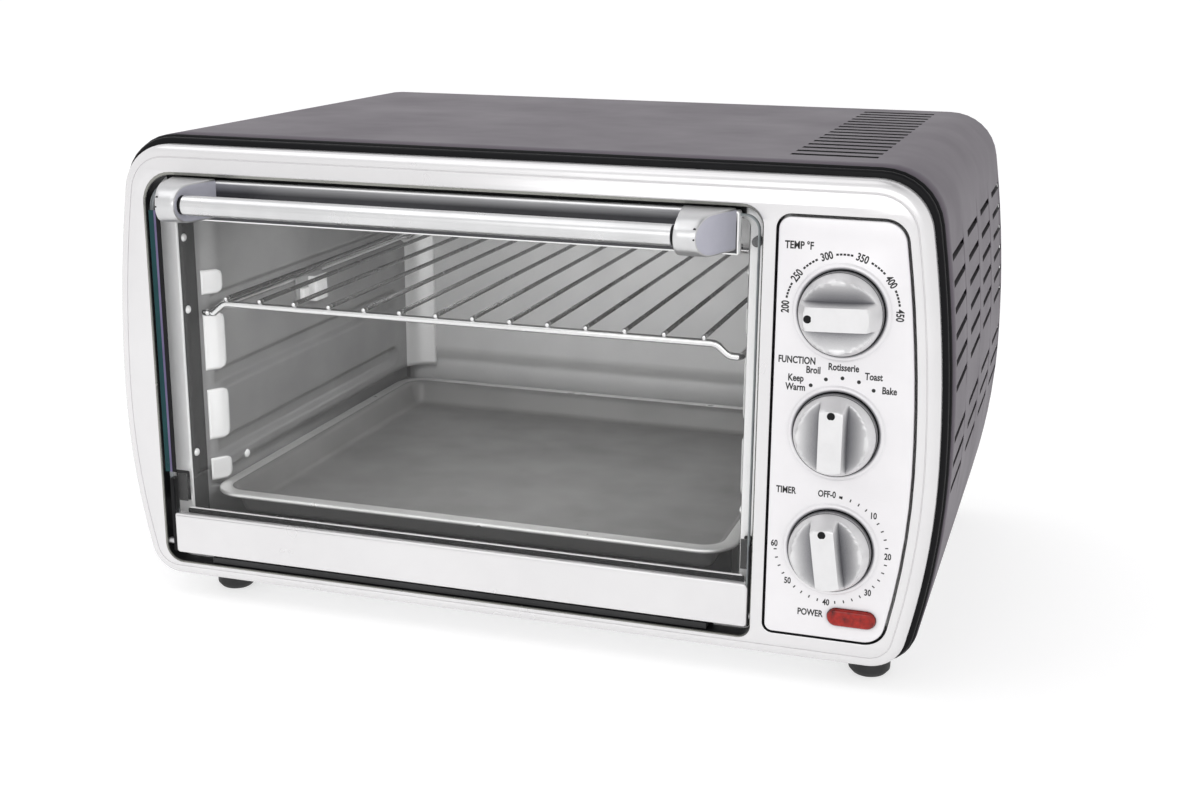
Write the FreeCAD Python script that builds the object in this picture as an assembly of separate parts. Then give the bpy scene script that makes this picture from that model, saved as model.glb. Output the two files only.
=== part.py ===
import FreeCAD, Part
import math
import os

# Countertop oven with a drop-down glass door, a wire rack, a bake pan, a crumb tray and
# three dials.  Millimetres.  X runs to the right, Y to the back, Z up.  The drawing's own
# Y = 0 is the front face of the bezel, and place() moves everything so that the origin
# lies under the middle of the whole oven.

V = FreeCAD.Vector
os.makedirs("parts", exist_ok=True)

# --- driving dimensions ------------------------------------------------------------------
COVER_HALF = 233.0          # half width of the painted cover at its widest
COVER_TOP = 266.5
BODY_BOTTOM = 14.0
BASE_HALF = 208.0
WAIST_Z = 121.0             # height at which the barrel sides are widest
UPPER_BULGE_R = 730.0
LOWER_BULGE_R = 385.0
BODY_DEPTH = 311.0          # bezel face to the outside of the back panel
HANDLE_REACH = 35.0
SPACER_LENGTH = 7.0
SHEET = 0.8
SCREW_HEAD_R = 3.4

BEZEL_HALF = 228.5
BEZEL_TOP = 262.0
BEZEL_DEPTH = 11.0
GASKET_HALF = 231.5
GASKET_TOP = 265.3
GASKET_BACK = 16.0
FRAME_FRONT = 12.0          # front face of the sheet-metal front frame
FRAME_BACK = 13.2

OPENING = (-205.3, 138.0, 22.8, 246.0)      # door opening in the bezel: x0, x1, z0, z1
OPENING_RADII = (17.0, 10.0, 6.0, 10.0)     # top left, top right, bottom right, bottom left

PANEL_LEFT = 146.2
PANEL_HALF = 216.3
PANEL_BOTTOM = 28.7
PANEL_TOP = 242.8
PANEL_RADII = (6.0, 11.0, 11.0, 4.0)
PANEL_GAP = 1.1

DIAL_X = 178.5
DIAL_Z = {"temperature": 197.8, "function": 137.3, "timer": 76.8}
DIAL_REST = {"temperature": -92.0, "function": 0.0, "timer": -8.0}   # clockwise from the top
KNOB_R = 20.4
SHAFT_R = 3.0
LENS = (190.7, 41.0, 24.5, 9.0)             # x, z, length, height

DOOR = (-199.5, 136.5, 27.8, 243.8)
GLASS_LEFT = -204.3         # the pane widens above the hinge plates
RAIL = (-189.5, 126.3)
DOOR_FRONT = 1.0
DOOR_BACK = 7.0
HINGE_Y = 4.0
HINGE_Z = 33.5
HINGE_PIN_R = 2.0
GLASS_FRONT = 2.4
GLASS_BACK = 5.8
LOWER_PANEL_TOP = 51.5
TOP_RAIL_BOTTOM = 222.0
HANDLE_X = -31.5
HANDLE_HALF = 134.0         # inner face of each handle cap
HANDLE_Y = -26.0
HANDLE_Z = 234.3
HANDLE_BAR_R = 5.3
ARM_R = 34.0                # link arm: an arc about the hinge axis
ARM_WIDTH = 5.0

CAVITY_X = -31.3
MOUTH = (-193.5, 129.4, 29.0, 239.0)        # opening in the front frame
JAMB_BACK = 22.0
WALL_HALF = 148.0
GROOVE_HALF = 158.0
CAVITY_BACK = 300.0
CAVITY_TOP = 247.0
FLOOR_Z = 22.0
GROOVES = ((77.0, 88.5), (118.5, 130.0), (163.2, 175.0))
PAN_LEDGE_Z = 59.4
PAN_LEDGE_TOP = 70.5

HEATER_R = 3.4
HEATER_Y = (92.0, 218.0)
UPPER_HEATER_Z = 229.0
LOWER_HEATER_Z = 38.0
SPIT_Y = 141.0
SPIT_Z = 156.5

RACK_HALF = 155.5
RACK_FRONT = 24.0
RACK_BACK = 292.0
RACK_ROD_R = 2.0
RACK_WIRE_R = 1.3
RACK_WIRES = 14
RACK_PITCH = 21.3
RACK_SIDE_Z = 165.5
RACK_BAR_Z = 171.5

PAN_HALF = 154.0
PAN_FRONT = 15.0
PAN_BACK = 294.0
PAN_RIM_Z = 62.0
PAN_DEPTH = 16.0

FOOT_X = (-178.5, 197.0)     # the right pair stands further out, below the controls
FOOT_Y = (30.0, 286.0)
FOOT_R = 11.0
FOOT_TAPER = 2.0
FOOT_PAD = 3.0

MID_Y = (BODY_DEPTH + SPACER_LENGTH - HANDLE_REACH) / 2.0


# --- helpers -----------------------------------------------------------------------------
def box(x0, x1, y0, y1, z0, z1):
    return Part.makeBox(x1 - x0, y1 - y0, z1 - z0, V(x0, y0, z0))


def rod_x(r, x0, x1, y, z):
    return Part.makeCylinder(r, x1 - x0, V(x0, y, z), V(1, 0, 0))


def rod_y(r, x, y0, y1, z):
    return Part.makeCylinder(r, y1 - y0, V(x, y0, z), V(0, 1, 0))


def rod_z(r, x, y, z0, z1):
    return Part.makeCylinder(r, z1 - z0, V(x, y, z0), V(0, 0, 1))


def joined(shapes):
    result = shapes[0]
    for shape in shapes[1:]:
        result = result.fuse(shape)
    return result.removeSplitter()


def group(shapes):
    return Part.makeCompound(shapes)


def bent_rod(points, r):
    """A round rod along straight runs, with a ball at each bend."""
    pieces = []
    for a, b in zip(points, points[1:]):
        run = b - a
        pieces.append(Part.makeCylinder(r, run.Length, a, run))
    for corner in points[1:-1]:
        pieces.append(Part.makeSphere(r, corner))
    return joined(pieces)


def prism_xz(points, y0, y1):
    wire = Part.makePolygon([V(x, y0, z) for x, z in points + points[:1]])
    return Part.Face(wire).extrude(V(0, y1 - y0, 0))


def prism_yz(points, x0, x1):
    wire = Part.makePolygon([V(x0, y, z) for y, z in points + points[:1]])
    return Part.Face(wire).extrude(V(x1 - x0, 0, 0))


def prism_xy(points, z0, z1):
    wire = Part.makePolygon([V(x, y, z0) for x, y in points + points[:1]])
    return Part.Face(wire).extrude(V(0, 0, z1 - z0))


def side_x(half, z):
    """The barrel side: half width at height z, for an outline whose widest half is given."""
    radius = UPPER_BULGE_R if z > WAIST_Z else LOWER_BULGE_R
    return half - (z - WAIST_Z) ** 2 / (2.0 * radius)


def side_arc(half, sign, z0, z1, y):
    zm = (z0 + z1) / 2.0
    points = [V(sign * side_x(half, z), y, z) for z in (z0, zm, z1)]
    return Part.Arc(*points).toShape()


def outline_prism(left, right, z0, z1, y0, y1, radii):
    """Extrude an upright outline from y0 to y1.

    left is a straight edge's x, or None for a barrel side like the right one.  right is a
    number for a straight edge, or ("barrel", half).  radii run from the top left corner
    clockwise as seen from the front.
    """
    edges = []
    if isinstance(right, tuple):
        half = right[1]
        edges.append(side_arc(half, 1, z0, WAIST_Z, y0))
        edges.append(side_arc(half, 1, WAIST_Z, z1, y0))
        xr0 = side_x(half, z0)
        xr1 = side_x(half, z1)
    else:
        xr0 = xr1 = right
        edges.append(Part.makeLine(V(right, y0, z0), V(right, y0, z1)))
    if left is None:
        half = right[1]
        xl0 = -side_x(half, z0)
        xl1 = -side_x(half, z1)
        edges_left = [side_arc(half, -1, z1, WAIST_Z, y0), side_arc(half, -1, WAIST_Z, z0, y0)]
    else:
        xl0 = xl1 = left
        edges_left = [Part.makeLine(V(left, y0, z1), V(left, y0, z0))]
    edges.append(Part.makeLine(V(xr1, y0, z1), V(xl1, y0, z1)))
    edges += edges_left
    edges.append(Part.makeLine(V(xl0, y0, z0), V(xr0, y0, z0)))
    solid = Part.Face(Part.Wire(edges)).extrude(V(0, y1 - y0, 0))
    corners = [(xl1, z1), (xr1, z1), (xr0, z0), (xl0, z0)]
    for (x, z), radius in zip(corners, radii):
        if radius > 0:
            solid = round_y_edge(solid, x, z, radius)
    return solid


def round_y_edge(solid, x, z, radius):
    for edge in solid.Edges:
        ends = [vertex.Point for vertex in edge.Vertexes]
        near = all(abs(p.x - x) < 0.01 and abs(p.z - z) < 0.01 for p in ends)
        if near and len(ends) == 2:
            return solid.makeFillet(radius, [edge])
    return solid


def barrel(half, z0, z1, y0, y1, r_top, r_bottom):
    return outline_prism(None, ("barrel", half), z0, z1, y0, y1, (r_top, r_top, r_bottom, r_bottom))


def slab(bounds, y0, y1, radii, grow=0.0):
    """A rectangular plate with four corner radii, grown or shrunk all round."""
    x0, x1, z0, z1 = bounds
    radii = [max(r + grow, 0.5) for r in radii]
    return outline_prism(x0 - grow, x1 + grow, z0 - grow, z1 + grow, y0, y1, radii)


def panel_prism(y0, y1, grow=0.0):
    radii = [r + grow for r in PANEL_RADII]
    return outline_prism(PANEL_LEFT - grow, ("barrel", PANEL_HALF + grow),
                         PANEL_BOTTOM - grow, PANEL_TOP + grow, y0, y1, radii)


def stadium(x, z, length, height, y0, y1):
    r = height / 2.0
    reach = length / 2.0 - r
    middle = box(x - reach, x + reach, y0, y1, z - r, z + r)
    return joined([middle, rod_y(r, x - reach, y0, y1, z), rod_y(r, x + reach, y0, y1, z)])


def offset_line(points, t):
    """Move an open polyline t to its left, with mitred corners."""
    normals = []
    for (ax, ay), (bx, by) in zip(points, points[1:]):
        length = math.hypot(bx - ax, by - ay)
        normals.append((-(by - ay) / length, (bx - ax) / length))
    moved = []
    for i, (x, y) in enumerate(points):
        n1 = normals[max(i - 1, 0)]
        n2 = normals[min(i, len(normals) - 1)]
        scale = t / (1.0 + n1[0] * n2[0] + n1[1] * n2[1])
        moved.append((x + (n1[0] + n2[0]) * scale, y + (n1[1] + n2[1]) * scale))
    return moved


def sheet_outline(points, t):
    return points + offset_line(points, t)[::-1]


def arc_points(cy, cz, r, deg0, deg1, steps):
    angles = [math.radians(deg0 + (deg1 - deg0) * i / steps) for i in range(steps + 1)]
    return [(cy + r * math.cos(a), cz + r * math.sin(a)) for a in angles]


# --- case --------------------------------------------------------------------------------
TOP_LOUVRES = 16
LOUVRE_PITCH = 15.7
LOUVRE_FIRST_Y = 47.6
LOUVRE_WIDTH = 6.4
LOUVRE_X = (140.6, 184.8)
SIDE_ROWS = (0, 1, 2, 3, 4, 5, 7, 8, 9)
SIDE_ROW_PITCH = 13.15
SIDE_TOP_ROW_Z = 222.0
SIDE_COLUMNS = 4
SIDE_COLUMN_PITCH = 74.0
SIDE_FIRST_Y = 31.0
SIDE_SLOT = (54.0, 3.6)


def outer_cover():
    back = BODY_DEPTH - 1.2
    outside = barrel(COVER_HALF, BODY_BOTTOM, COVER_TOP, GASKET_BACK, back, 32.0, 22.0)
    inside = barrel(COVER_HALF - SHEET, BODY_BOTTOM + SHEET, COVER_TOP - SHEET,
                    GASKET_BACK - 1, back + 1, 32.0 - SHEET, 22.0 - SHEET)
    shell = outside.cut(inside)
    shell = shell.cut(box(-BASE_HALF - 1, BASE_HALF + 1, 0, BODY_DEPTH, 0, BODY_BOTTOM + 5))
    cuts = []
    for i in range(TOP_LOUVRES):
        y = LOUVRE_FIRST_Y + i * LOUVRE_PITCH
        cuts.append(box(LOUVRE_X[0], LOUVRE_X[1], y, y + LOUVRE_WIDTH, COVER_TOP - 4, COVER_TOP + 2))
    for row in SIDE_ROWS:
        z = SIDE_TOP_ROW_Z - row * SIDE_ROW_PITCH
        for column in range(SIDE_COLUMNS):
            y = SIDE_FIRST_Y + column * SIDE_COLUMN_PITCH
            half_height = SIDE_SLOT[1] / 2.0
            cuts.append(box(200, 240, y, y + SIDE_SLOT[0], z - half_height, z + half_height))
    return shell.cut(group(cuts))


def back_panel():
    plate = barrel(COVER_HALF - 1.3, BODY_BOTTOM + 1.3, COVER_TOP - 1.3,
                   BODY_DEPTH - 1.0, BODY_DEPTH, 30.7, 20.7)
    cuts = []
    for side in (-1, 1):
        for i in range(9):
            z = 70 + i * 16
            cuts.append(box(side * 175 - 22, side * 175 + 22, BODY_DEPTH - 3, BODY_DEPTH + 1, z, z + 4))
    cuts.append(rod_y(7.0, 160, BODY_DEPTH - 3, BODY_DEPTH + 1, 46))
    return plate.cut(group(cuts))


def base_plate():
    plate = box(-BASE_HALF, BASE_HALF, GASKET_BACK, BODY_DEPTH - 1.2, BODY_BOTTOM, BODY_BOTTOM + 1.0)
    cuts = []
    for i in range(7):
        x = -120 + i * 40
        cuts.append(box(x - 2, x + 2, 110, 210, 0, 30))
    return plate.cut(group(cuts))


def feet():
    pieces = []
    for x in FOOT_X:
        for y in FOOT_Y:
            pad = Part.makeCone(FOOT_R - FOOT_TAPER, FOOT_R, FOOT_PAD, V(x, y, 0))
            stem = rod_z(FOOT_R, x, y, FOOT_PAD, BODY_BOTTOM)
            pieces.append(joined([pad, stem]))
    return group(pieces)


def foot_screws():
    pieces = []
    for x in FOOT_X:
        for y in FOOT_Y:
            pieces.append(rod_z(SCREW_HEAD_R, x, y, BODY_BOTTOM + 1.0, BODY_BOTTOM + 3.0))
    return group(pieces)


def rear_spacers():
    pieces = []
    for side in (-1, 1):
        block = box(side * 120 - 14, side * 120 + 14, BODY_DEPTH, BODY_DEPTH + SPACER_LENGTH, 215, 226)
        pieces.append(block.makeFillet(2.5, [e for e in block.Edges if on_plane(e, BODY_DEPTH + SPACER_LENGTH)]))
    return group(pieces)


def on_plane(edge, y):
    return all(abs(vertex.Point.y - y) < 0.01 for vertex in edge.Vertexes)


def cord_gland():
    flange = rod_y(9.0, 160, BODY_DEPTH, BODY_DEPTH + 3.0, 46)
    barrel_part = rod_y(6.9, 160, BODY_DEPTH - 8.0, BODY_DEPTH, 46)
    bore = rod_y(3.6, 160, BODY_DEPTH - 10, BODY_DEPTH + 5, 46)
    return joined([flange, barrel_part]).cut(bore)


def case_screws():
    pieces = []
    for x, z in ((-205, 200), (205, 200), (-212, 70), (212, 70), (-100, 254), (100, 254)):
        pieces.append(rod_y(SCREW_HEAD_R, x, BODY_DEPTH, BODY_DEPTH + 1.8, z))
    return group(pieces)


# --- front -------------------------------------------------------------------------------
def front_bezel():
    body = barrel(BEZEL_HALF, BODY_BOTTOM, BEZEL_TOP, 0, BEZEL_DEPTH, 29.0, 20.0)
    outer = [e for e in body.Edges if on_plane(e, 0)]
    body = body.makeFillet(3.0, outer)
    wall = 2.4
    pocket = barrel(BEZEL_HALF - wall - 1, BODY_BOTTOM + wall, BEZEL_TOP - wall,
                    3.4, BEZEL_DEPTH + 1, 29.0 - wall, 20.0 - wall)
    pocket = pocket.cut(slab(OPENING, -5, 30, OPENING_RADII, wall))
    pocket = pocket.cut(panel_prism(-5, 30, PANEL_GAP + wall))
    body = body.cut(slab(OPENING, -5, 30, OPENING_RADII))
    body = body.cut(panel_prism(-5, 30, PANEL_GAP))
    hinge_holes = rod_x(HINGE_PIN_R + 0.05, OPENING[0] - 6, OPENING[1] + 6, HINGE_Y, HINGE_Z)
    return body.cut(pocket).cut(hinge_holes)


def bezel_gasket():
    outside = barrel(GASKET_HALF, BODY_BOTTOM, GASKET_TOP, BEZEL_DEPTH - 1.5, GASKET_BACK, 31.0, 21.0)
    front_lip = barrel(BEZEL_HALF + 0.1, BODY_BOTTOM - 1, BEZEL_TOP + 0.1,
                       BEZEL_DEPTH - 2.5, BEZEL_DEPTH, 29.1, 20.1)
    inside = barrel(BEZEL_HALF - 4, BODY_BOTTOM + 4, BEZEL_TOP - 3.5, -5, 40, 26.0, 17.0)
    return outside.cut(front_lip).cut(inside)


def front_frame():
    plate = barrel(BEZEL_HALF - 4.2, BODY_BOTTOM + 4.2, BEZEL_TOP - 3.8,
                   FRAME_FRONT, FRAME_BACK, 25.5, 16.5)
    mouth = slab(MOUTH, 0, 30, (4, 12, 4, 4))
    tray_slot = box(CAVITY_X - 148, CAVITY_X + 148, 0, 30, FLOOR_Z - SHEET, 29.5)
    cuts = [mouth, tray_slot]
    for x0 in ARM_X:
        cuts.append(box(x0 - 2, x0 + 3.5, 0, 30, 59, 73))
    for z in DIAL_Z.values():
        cuts.append(rod_y(5.0, DIAL_X, 0, 30, z))
    cuts.append(stadium(LENS[0], LENS[1], 18.0, 8.0, 0, 30))
    for shape in cuts:
        plate = plate.cut(shape)
    return plate


def control_panel():
    plate = panel_prism(-0.8, 1.4)
    edges = [e for e in plate.Edges if on_plane(e, -0.8)]
    plate = plate.makeFillet(0.6, edges)
    for z in DIAL_Z.values():
        plate = plate.cut(rod_y(3.6, DIAL_X, -5, 5, z))
        ring = rod_y(23.8, DIAL_X, -1.6, -0.7, z).cut(rod_y(21.5, DIAL_X, -5, 5, z))
        plate = plate.fuse(ring)
    return plate.cut(stadium(LENS[0], LENS[1], LENS[2] + 0.2, LENS[3] + 0.2, -5, 5))


def indicator_lens():
    window = stadium(LENS[0], LENS[1], LENS[2], LENS[3], -3.0, 4.0)
    edges = [e for e in window.Edges if on_plane(e, -3.0)]
    return window.makeFillet(1.2, edges)


def indicator_lamp():
    bulb = rod_y(3.0, LENS[0], 5.0, 17.0, LENS[1])
    holder = box(LENS[0] - 6, LENS[0] + 6, 17.0, 23.0, LENS[1] - 5, LENS[1] + 5)
    return joined([bulb, holder])


# --- cavity ------------------------------------------------------------------------------
def wall_profile():
    """Inner face of a side wall, from the floor to the top: (half width, height)."""
    points = [(150.0, FLOOR_Z + 2), (150.0, PAN_LEDGE_Z), (GROOVE_HALF, PAN_LEDGE_Z),
              (GROOVE_HALF, PAN_LEDGE_TOP - 2), (WALL_HALF, PAN_LEDGE_TOP)]
    for z0, z1 in GROOVES:
        points += [(WALL_HALF, z0), (GROOVE_HALF, z0), (GROOVE_HALF, z1 - 3), (WALL_HALF, z1)]
    points.append((WALL_HALF, CAVITY_TOP))
    return points


def wall_point(sign, half, z):
    return (CAVITY_X + sign * half, z)


def cavity_side(sign):
    inner = wall_profile()
    outer = [(h, z) for h, z in offset_line(inner, -SHEET)]
    outline = [wall_point(sign, h, z) for h, z in inner + outer[::-1]]
    pieces = [prism_xz(outline, 24.0, CAVITY_BACK)]
    mouth_half = abs(MOUTH[1 if sign > 0 else 0] - CAVITY_X)
    steps = [(PAN_LEDGE_TOP, GROOVES[0][0])]
    steps += [(a[1], b[0]) for a, b in zip(GROOVES, GROOVES[1:])]
    steps.append((GROOVES[-1][1], CAVITY_TOP))
    for z0, z1 in steps:
        flare = [(WALL_HALF, 24.2), (WALL_HALF + 3, 18.5), (mouth_half - 1.0, FRAME_BACK)]
        strip = flare + [(h + SHEET, y) for h, y in flare[::-1]]
        points = [(CAVITY_X + sign * h, y) for h, y in strip]
        pieces.append(prism_xy(points, z0, z1))
    wall = joined(pieces)
    for y in HEATER_Y:
        for z in (UPPER_HEATER_Z, LOWER_HEATER_Z):
            wall = wall.cut(rod_x(6.05, -230, 200, y, z))
    if sign > 0:
        wall = wall.cut(rod_x(3.6, 0, 200, SPIT_Y, SPIT_Z))
    return wall


def cavity_top():
    return box(CAVITY_X - GROOVE_HALF, CAVITY_X + GROOVE_HALF, FRAME_BACK, CAVITY_BACK + 6,
               CAVITY_TOP, CAVITY_TOP + SHEET)


def cavity_floor():
    return box(CAVITY_X - 152, CAVITY_X + 152, FRAME_BACK, CAVITY_BACK + 6, FLOOR_Z - SHEET, FLOOR_Z)


def cavity_back():
    face = [(CAVITY_BACK, CAVITY_TOP), (CAVITY_BACK, 82.0), (CAVITY_BACK + 6, 74.0),
            (CAVITY_BACK + 6, FLOOR_Z)]
    outline = sheet_outline(face, SHEET)
    return prism_yz(outline, CAVITY_X - GROOVE_HALF, CAVITY_X + GROOVE_HALF)


def heater_pair(z):
    return group([rod_x(HEATER_R, CAVITY_X - 166, CAVITY_X + 166, y, z) for y in HEATER_Y])


def heater_insulators():
    pieces = []
    for z, half in ((UPPER_HEATER_Z, WALL_HALF), (LOWER_HEATER_Z, 150.0)):
        for y in HEATER_Y:
            for sign in (-1, 1):
                ends = sorted(CAVITY_X + sign * h for h in (half - 3, half))
                collar = rod_x(8.0, ends[0], ends[1], y, z)
                ends = sorted(CAVITY_X + sign * h for h in (half, half + 9))
                neck = rod_x(6.0, ends[0], ends[1], y, z)
                bore = rod_x(HEATER_R, CAVITY_X - 200, CAVITY_X + 200, y, z)
                pieces.append(joined([collar, neck]).cut(bore))
    return group(pieces)


def spit_bracket():
    x = CAVITY_X - WALL_HALF
    plate = box(x, x + 1.2, SPIT_Y - 13, SPIT_Y + 13, SPIT_Z - 8, SPIT_Z + 8)
    plate = plate.cut(rod_x(4.0, x - 1, x + 3, SPIT_Y, SPIT_Z))
    lip = box(x, x + 5.0, SPIT_Y - 13, SPIT_Y - 11.8, SPIT_Z - 8, SPIT_Z + 8)
    return joined([plate, lip])


def jamb_rivets():
    pieces = []
    for side, heights in ((-1, (209.0, 168.0, 84.0)), (1, (211.0, 86.0))):
        for z in heights:
            x = MOUTH[0 if side < 0 else 1] - side * 0.1
            span = sorted((x - side * 0.9, x))
            pieces.append(rod_x(1.9, span[0], span[1], FRAME_BACK + 3.0, z))
    return group(pieces)


def jamb_strips():
    """Two upright strips that carry the cavity's side walls on the front frame."""
    pieces = []
    for side, edge in ((-1, MOUTH[0]), (1, MOUTH[1])):
        edges = sorted((edge - side * 0.1, edge + side * SHEET))
        pieces.append(box(edges[0], edges[1], FRAME_BACK, JAMB_BACK, 74.0, 236.0))
    return group(pieces)


def door_bumpers():
    pieces = []
    for x in (MOUTH[0] - 5.0, MOUTH[1] + 4.5):
        pieces.append(rod_y(2.6, x, 7.6, FRAME_FRONT, 228.0))
    return group(pieces)


def heat_shield():
    plate = box(130.6, 131.4, FRAME_BACK, BODY_DEPTH - 1.2, 24.0, 246.0)
    plate = plate.cut(rod_x(3.6, 100, 200, SPIT_Y, SPIT_Z))
    for y in HEATER_Y:
        for z in (UPPER_HEATER_Z, LOWER_HEATER_Z):
            plate = plate.cut(rod_x(8.0, 100, 200, y, z))
    return plate


# --- controls ----------------------------------------------------------------------------
def control_body(z, half_width, half_height, depth):
    body = box(DIAL_X - half_width, DIAL_X + half_width, FRAME_BACK, FRAME_BACK + depth,
               z - half_height, z + half_height)
    neck = rod_y(4.9, DIAL_X, FRAME_FRONT - 6, FRAME_BACK, z)
    bore = rod_y(SHAFT_R + 0.05, DIAL_X, 0, FRAME_BACK + 9.0, z)
    return joined([body, neck]).cut(bore)


def thermostat():
    body = control_body(DIAL_Z["temperature"], 17.0, 15.0, 24.0)
    terminals = [box(DIAL_X - 12 + i * 20, DIAL_X - 8 + i * 20, 37.0, 45.0, 196.0, 196.8) for i in (0, 1)]
    return joined([body] + terminals)


def thermostat_bulb():
    y = 40.0
    route = [V(DIAL_X, y - 2.6, 190), V(DIAL_X, 52, 190), V(DIAL_X, 52, 251), V(60, 52, 251), V(60, 150, 251)]
    tube = bent_rod(route, 0.9)
    bulb = rod_y(3.0, 60, 150, 215, 251)
    return joined([tube, bulb])


def function_switch():
    body = control_body(DIAL_Z["function"], 17.0, 14.0, 20.0)
    tabs = [box(DIAL_X - 14 + i * 9, DIAL_X - 10 + i * 9, 33.0, 41.0, 137.0, 137.8) for i in range(4)]
    return joined([body] + tabs)


def timer_mechanism():
    return control_body(DIAL_Z["timer"], 22.0, 22.0, 30.0)


def timer_bell():
    z = DIAL_Z["timer"]
    dome = rod_y(19.0, DIAL_X, 45.0, 52.0, z).cut(rod_y(18.0, DIAL_X, 44.0, 51.0, z))
    post = rod_y(2.0, DIAL_X, FRAME_BACK + 30.0, 51.0, z)
    return joined([dome, post])


def rotisserie_motor():
    can = rod_x(21.0, 142.0, 160.0, SPIT_Y, SPIT_Z)
    gearbox = box(134.0, 142.0, SPIT_Y - 21, SPIT_Y + 21, SPIT_Z - 21, SPIT_Z + 21)
    bore = rod_x(3.05, 120.0, 150.0, SPIT_Y, SPIT_Z)
    return joined([can, gearbox]).cut(bore)


def spit_drive():
    wall = CAVITY_X + WALL_HALF
    cup = rod_x(7.0, wall - 9.0, wall - 1.0, SPIT_Y, SPIT_Z)
    square = box(wall - 10.0, wall - 2.5, SPIT_Y - 3.2, SPIT_Y + 3.2, SPIT_Z - 3.2, SPIT_Z + 3.2)
    shaft = rod_x(3.0, wall - 1.0, 149.0, SPIT_Y, SPIT_Z)
    return joined([cup.cut(square), shaft])


def terminal_block():
    block = box(150.0, 186.0, 270.0, 284.0, 60.0, 78.0)
    foot = box(131.4, 150.0, 276.0, 278.0, 62.0, 76.0)
    return joined([block, foot])


def internal_wiring():
    """Mains wires from the block to the timer, switch, thermostat and lamp."""
    runs = []
    for i, (y, z) in enumerate(((54.0, 60.0), (43.0, 130.0), (47.0, 182.0))):
        x = 153.0 + i * 9.0
        height = 102.0 + i * 6.0
        route = [V(x, 277, 78), V(x, 277, height), V(x, y, height), V(x, y, z)]
        runs.append(bent_rod(route, 1.1))
    lamp = [V(180, 277, 78), V(180, 277, 120), V(206, 277, 120), V(206, 20, 120),
            V(206, 20, LENS[1]), V(LENS[0] + 6, 20, LENS[1])]
    runs.append(bent_rod(lamp, 1.1))
    return group(runs)


# --- door --------------------------------------------------------------------------------
ARM_X = (-196.6, 133.2)


def door_glass():
    bounds = (GLASS_LEFT, DOOR[1], HINGE_Z - 2.0, DOOR[3] - 1.4)
    pane = slab(bounds, GLASS_FRONT, GLASS_BACK, (16.0, 8.0, 2.0, 2.0))
    pane = pane.cut(box(-300, DOOR[0], 0, 10, 0, 74.0))
    return pane.cut(box(-300, DOOR[0] + 9, 0, 10, 0, 42)).cut(box(DOOR[1] - 9, 300, 0, 10, 0, 42))


def door_lower_panel():
    front = slab((DOOR[0], DOOR[1], DOOR[2], LOWER_PANEL_TOP), DOOR_FRONT, DOOR_FRONT + 1.2,
                 (2.0, 5.0, 2.0, 5.0))
    bottom = box(DOOR[0] + 6, DOOR[1] - 3, DOOR_FRONT, DOOR_BACK, DOOR[2], DOOR[2] + 1.2)
    back = box(DOOR[0] + 6, DOOR[1] - 3, GLASS_BACK + 0.2, DOOR_BACK, DOOR[2], LOWER_PANEL_TOP + 2.5)
    blocks = []
    for x0, x1 in ((DOOR[0] + 0.6, DOOR[0] + 8.6), (DOOR[1] - 8.6, DOOR[1] - 0.6)):
        blocks.append(box(x0, x1, DOOR_FRONT + 0.6, DOOR_BACK, DOOR[2] + 1.0, 41.5))
    panel = joined([front, bottom, back] + blocks)
    return panel.cut(rod_x(HINGE_PIN_R, DOOR[0] - 1, DOOR[1] + 1, HINGE_Y, HINGE_Z))


def hinge_pins():
    left = rod_x(HINGE_PIN_R, OPENING[0] - 2.6, DOOR[0] + 7.6, HINGE_Y, HINGE_Z)
    right = rod_x(HINGE_PIN_R, DOOR[1] - 7.6, OPENING[1] + 2.6, HINGE_Y, HINGE_Z)
    return group([left, right])


def hinge_cheeks():
    """Black side plates at the door's lower corners."""
    pieces = []
    for x0, x1 in ((DOOR[0] - 2.2, DOOR[0] - 0.0), (DOOR[1] + 0.0, DOOR[1] + 0.9)):
        plate = box(x0, x1, DOOR_FRONT + 0.8, DOOR_BACK, DOOR[2] + 0.6, 72.0)
        plate = plate.cut(rod_x(HINGE_PIN_R, x0 - 1, x1 + 1, HINGE_Y, HINGE_Z))
        pieces.append(plate)
    return group(pieces)


def link_arms():
    """Quadrants about the hinge axis that pass through slots in the front frame."""
    pieces = []
    for x in ARM_X:
        inner = arc_points(HINGE_Y, HINGE_Z, ARM_R - ARM_WIDTH / 2, 6.0, 84.5, 10)
        outer = arc_points(HINGE_Y, HINGE_Z, ARM_R + ARM_WIDTH / 2, 6.0, 84.5, 10)
        arm = prism_yz(inner + outer[::-1], x, x + 1.5)
        foot = box(x, x + 1.5, DOOR_BACK - 0.9, DOOR_BACK + 2.0, 60.0, 72.0)
        foot = foot.cut(box(x - 1, x + 3, 0, DOOR_BACK, 0, 100))
        pieces.append(joined([arm.cut(box(x - 1, x + 3, 0, DOOR_BACK, 0, 100)), foot]))
    return group(pieces)


def arm_pads():
    """Small brackets between the glass and each link arm."""
    pieces = []
    for x in ARM_X:
        pieces.append(box(x - 2.0, x + 3.2, GLASS_BACK, DOOR_BACK, 58.0, 74.0))
    return group(pieces)


def door_top_rail():
    front = box(RAIL[0], RAIL[1], DOOR_FRONT, GLASS_FRONT, TOP_RAIL_BOTTOM, DOOR[3])
    back = box(RAIL[0], RAIL[1], GLASS_BACK, DOOR_BACK, TOP_RAIL_BOTTOM, DOOR[3])
    lid = box(RAIL[0], RAIL[1], DOOR_FRONT, DOOR_BACK, DOOR[3] - 1.3, DOOR[3])
    return joined([front, back, lid])


def handle_bar():
    return rod_x(HANDLE_BAR_R, HANDLE_X - HANDLE_HALF - 6.0, HANDLE_X + HANDLE_HALF + 6.0,
                 HANDLE_Y, HANDLE_Z)


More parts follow.
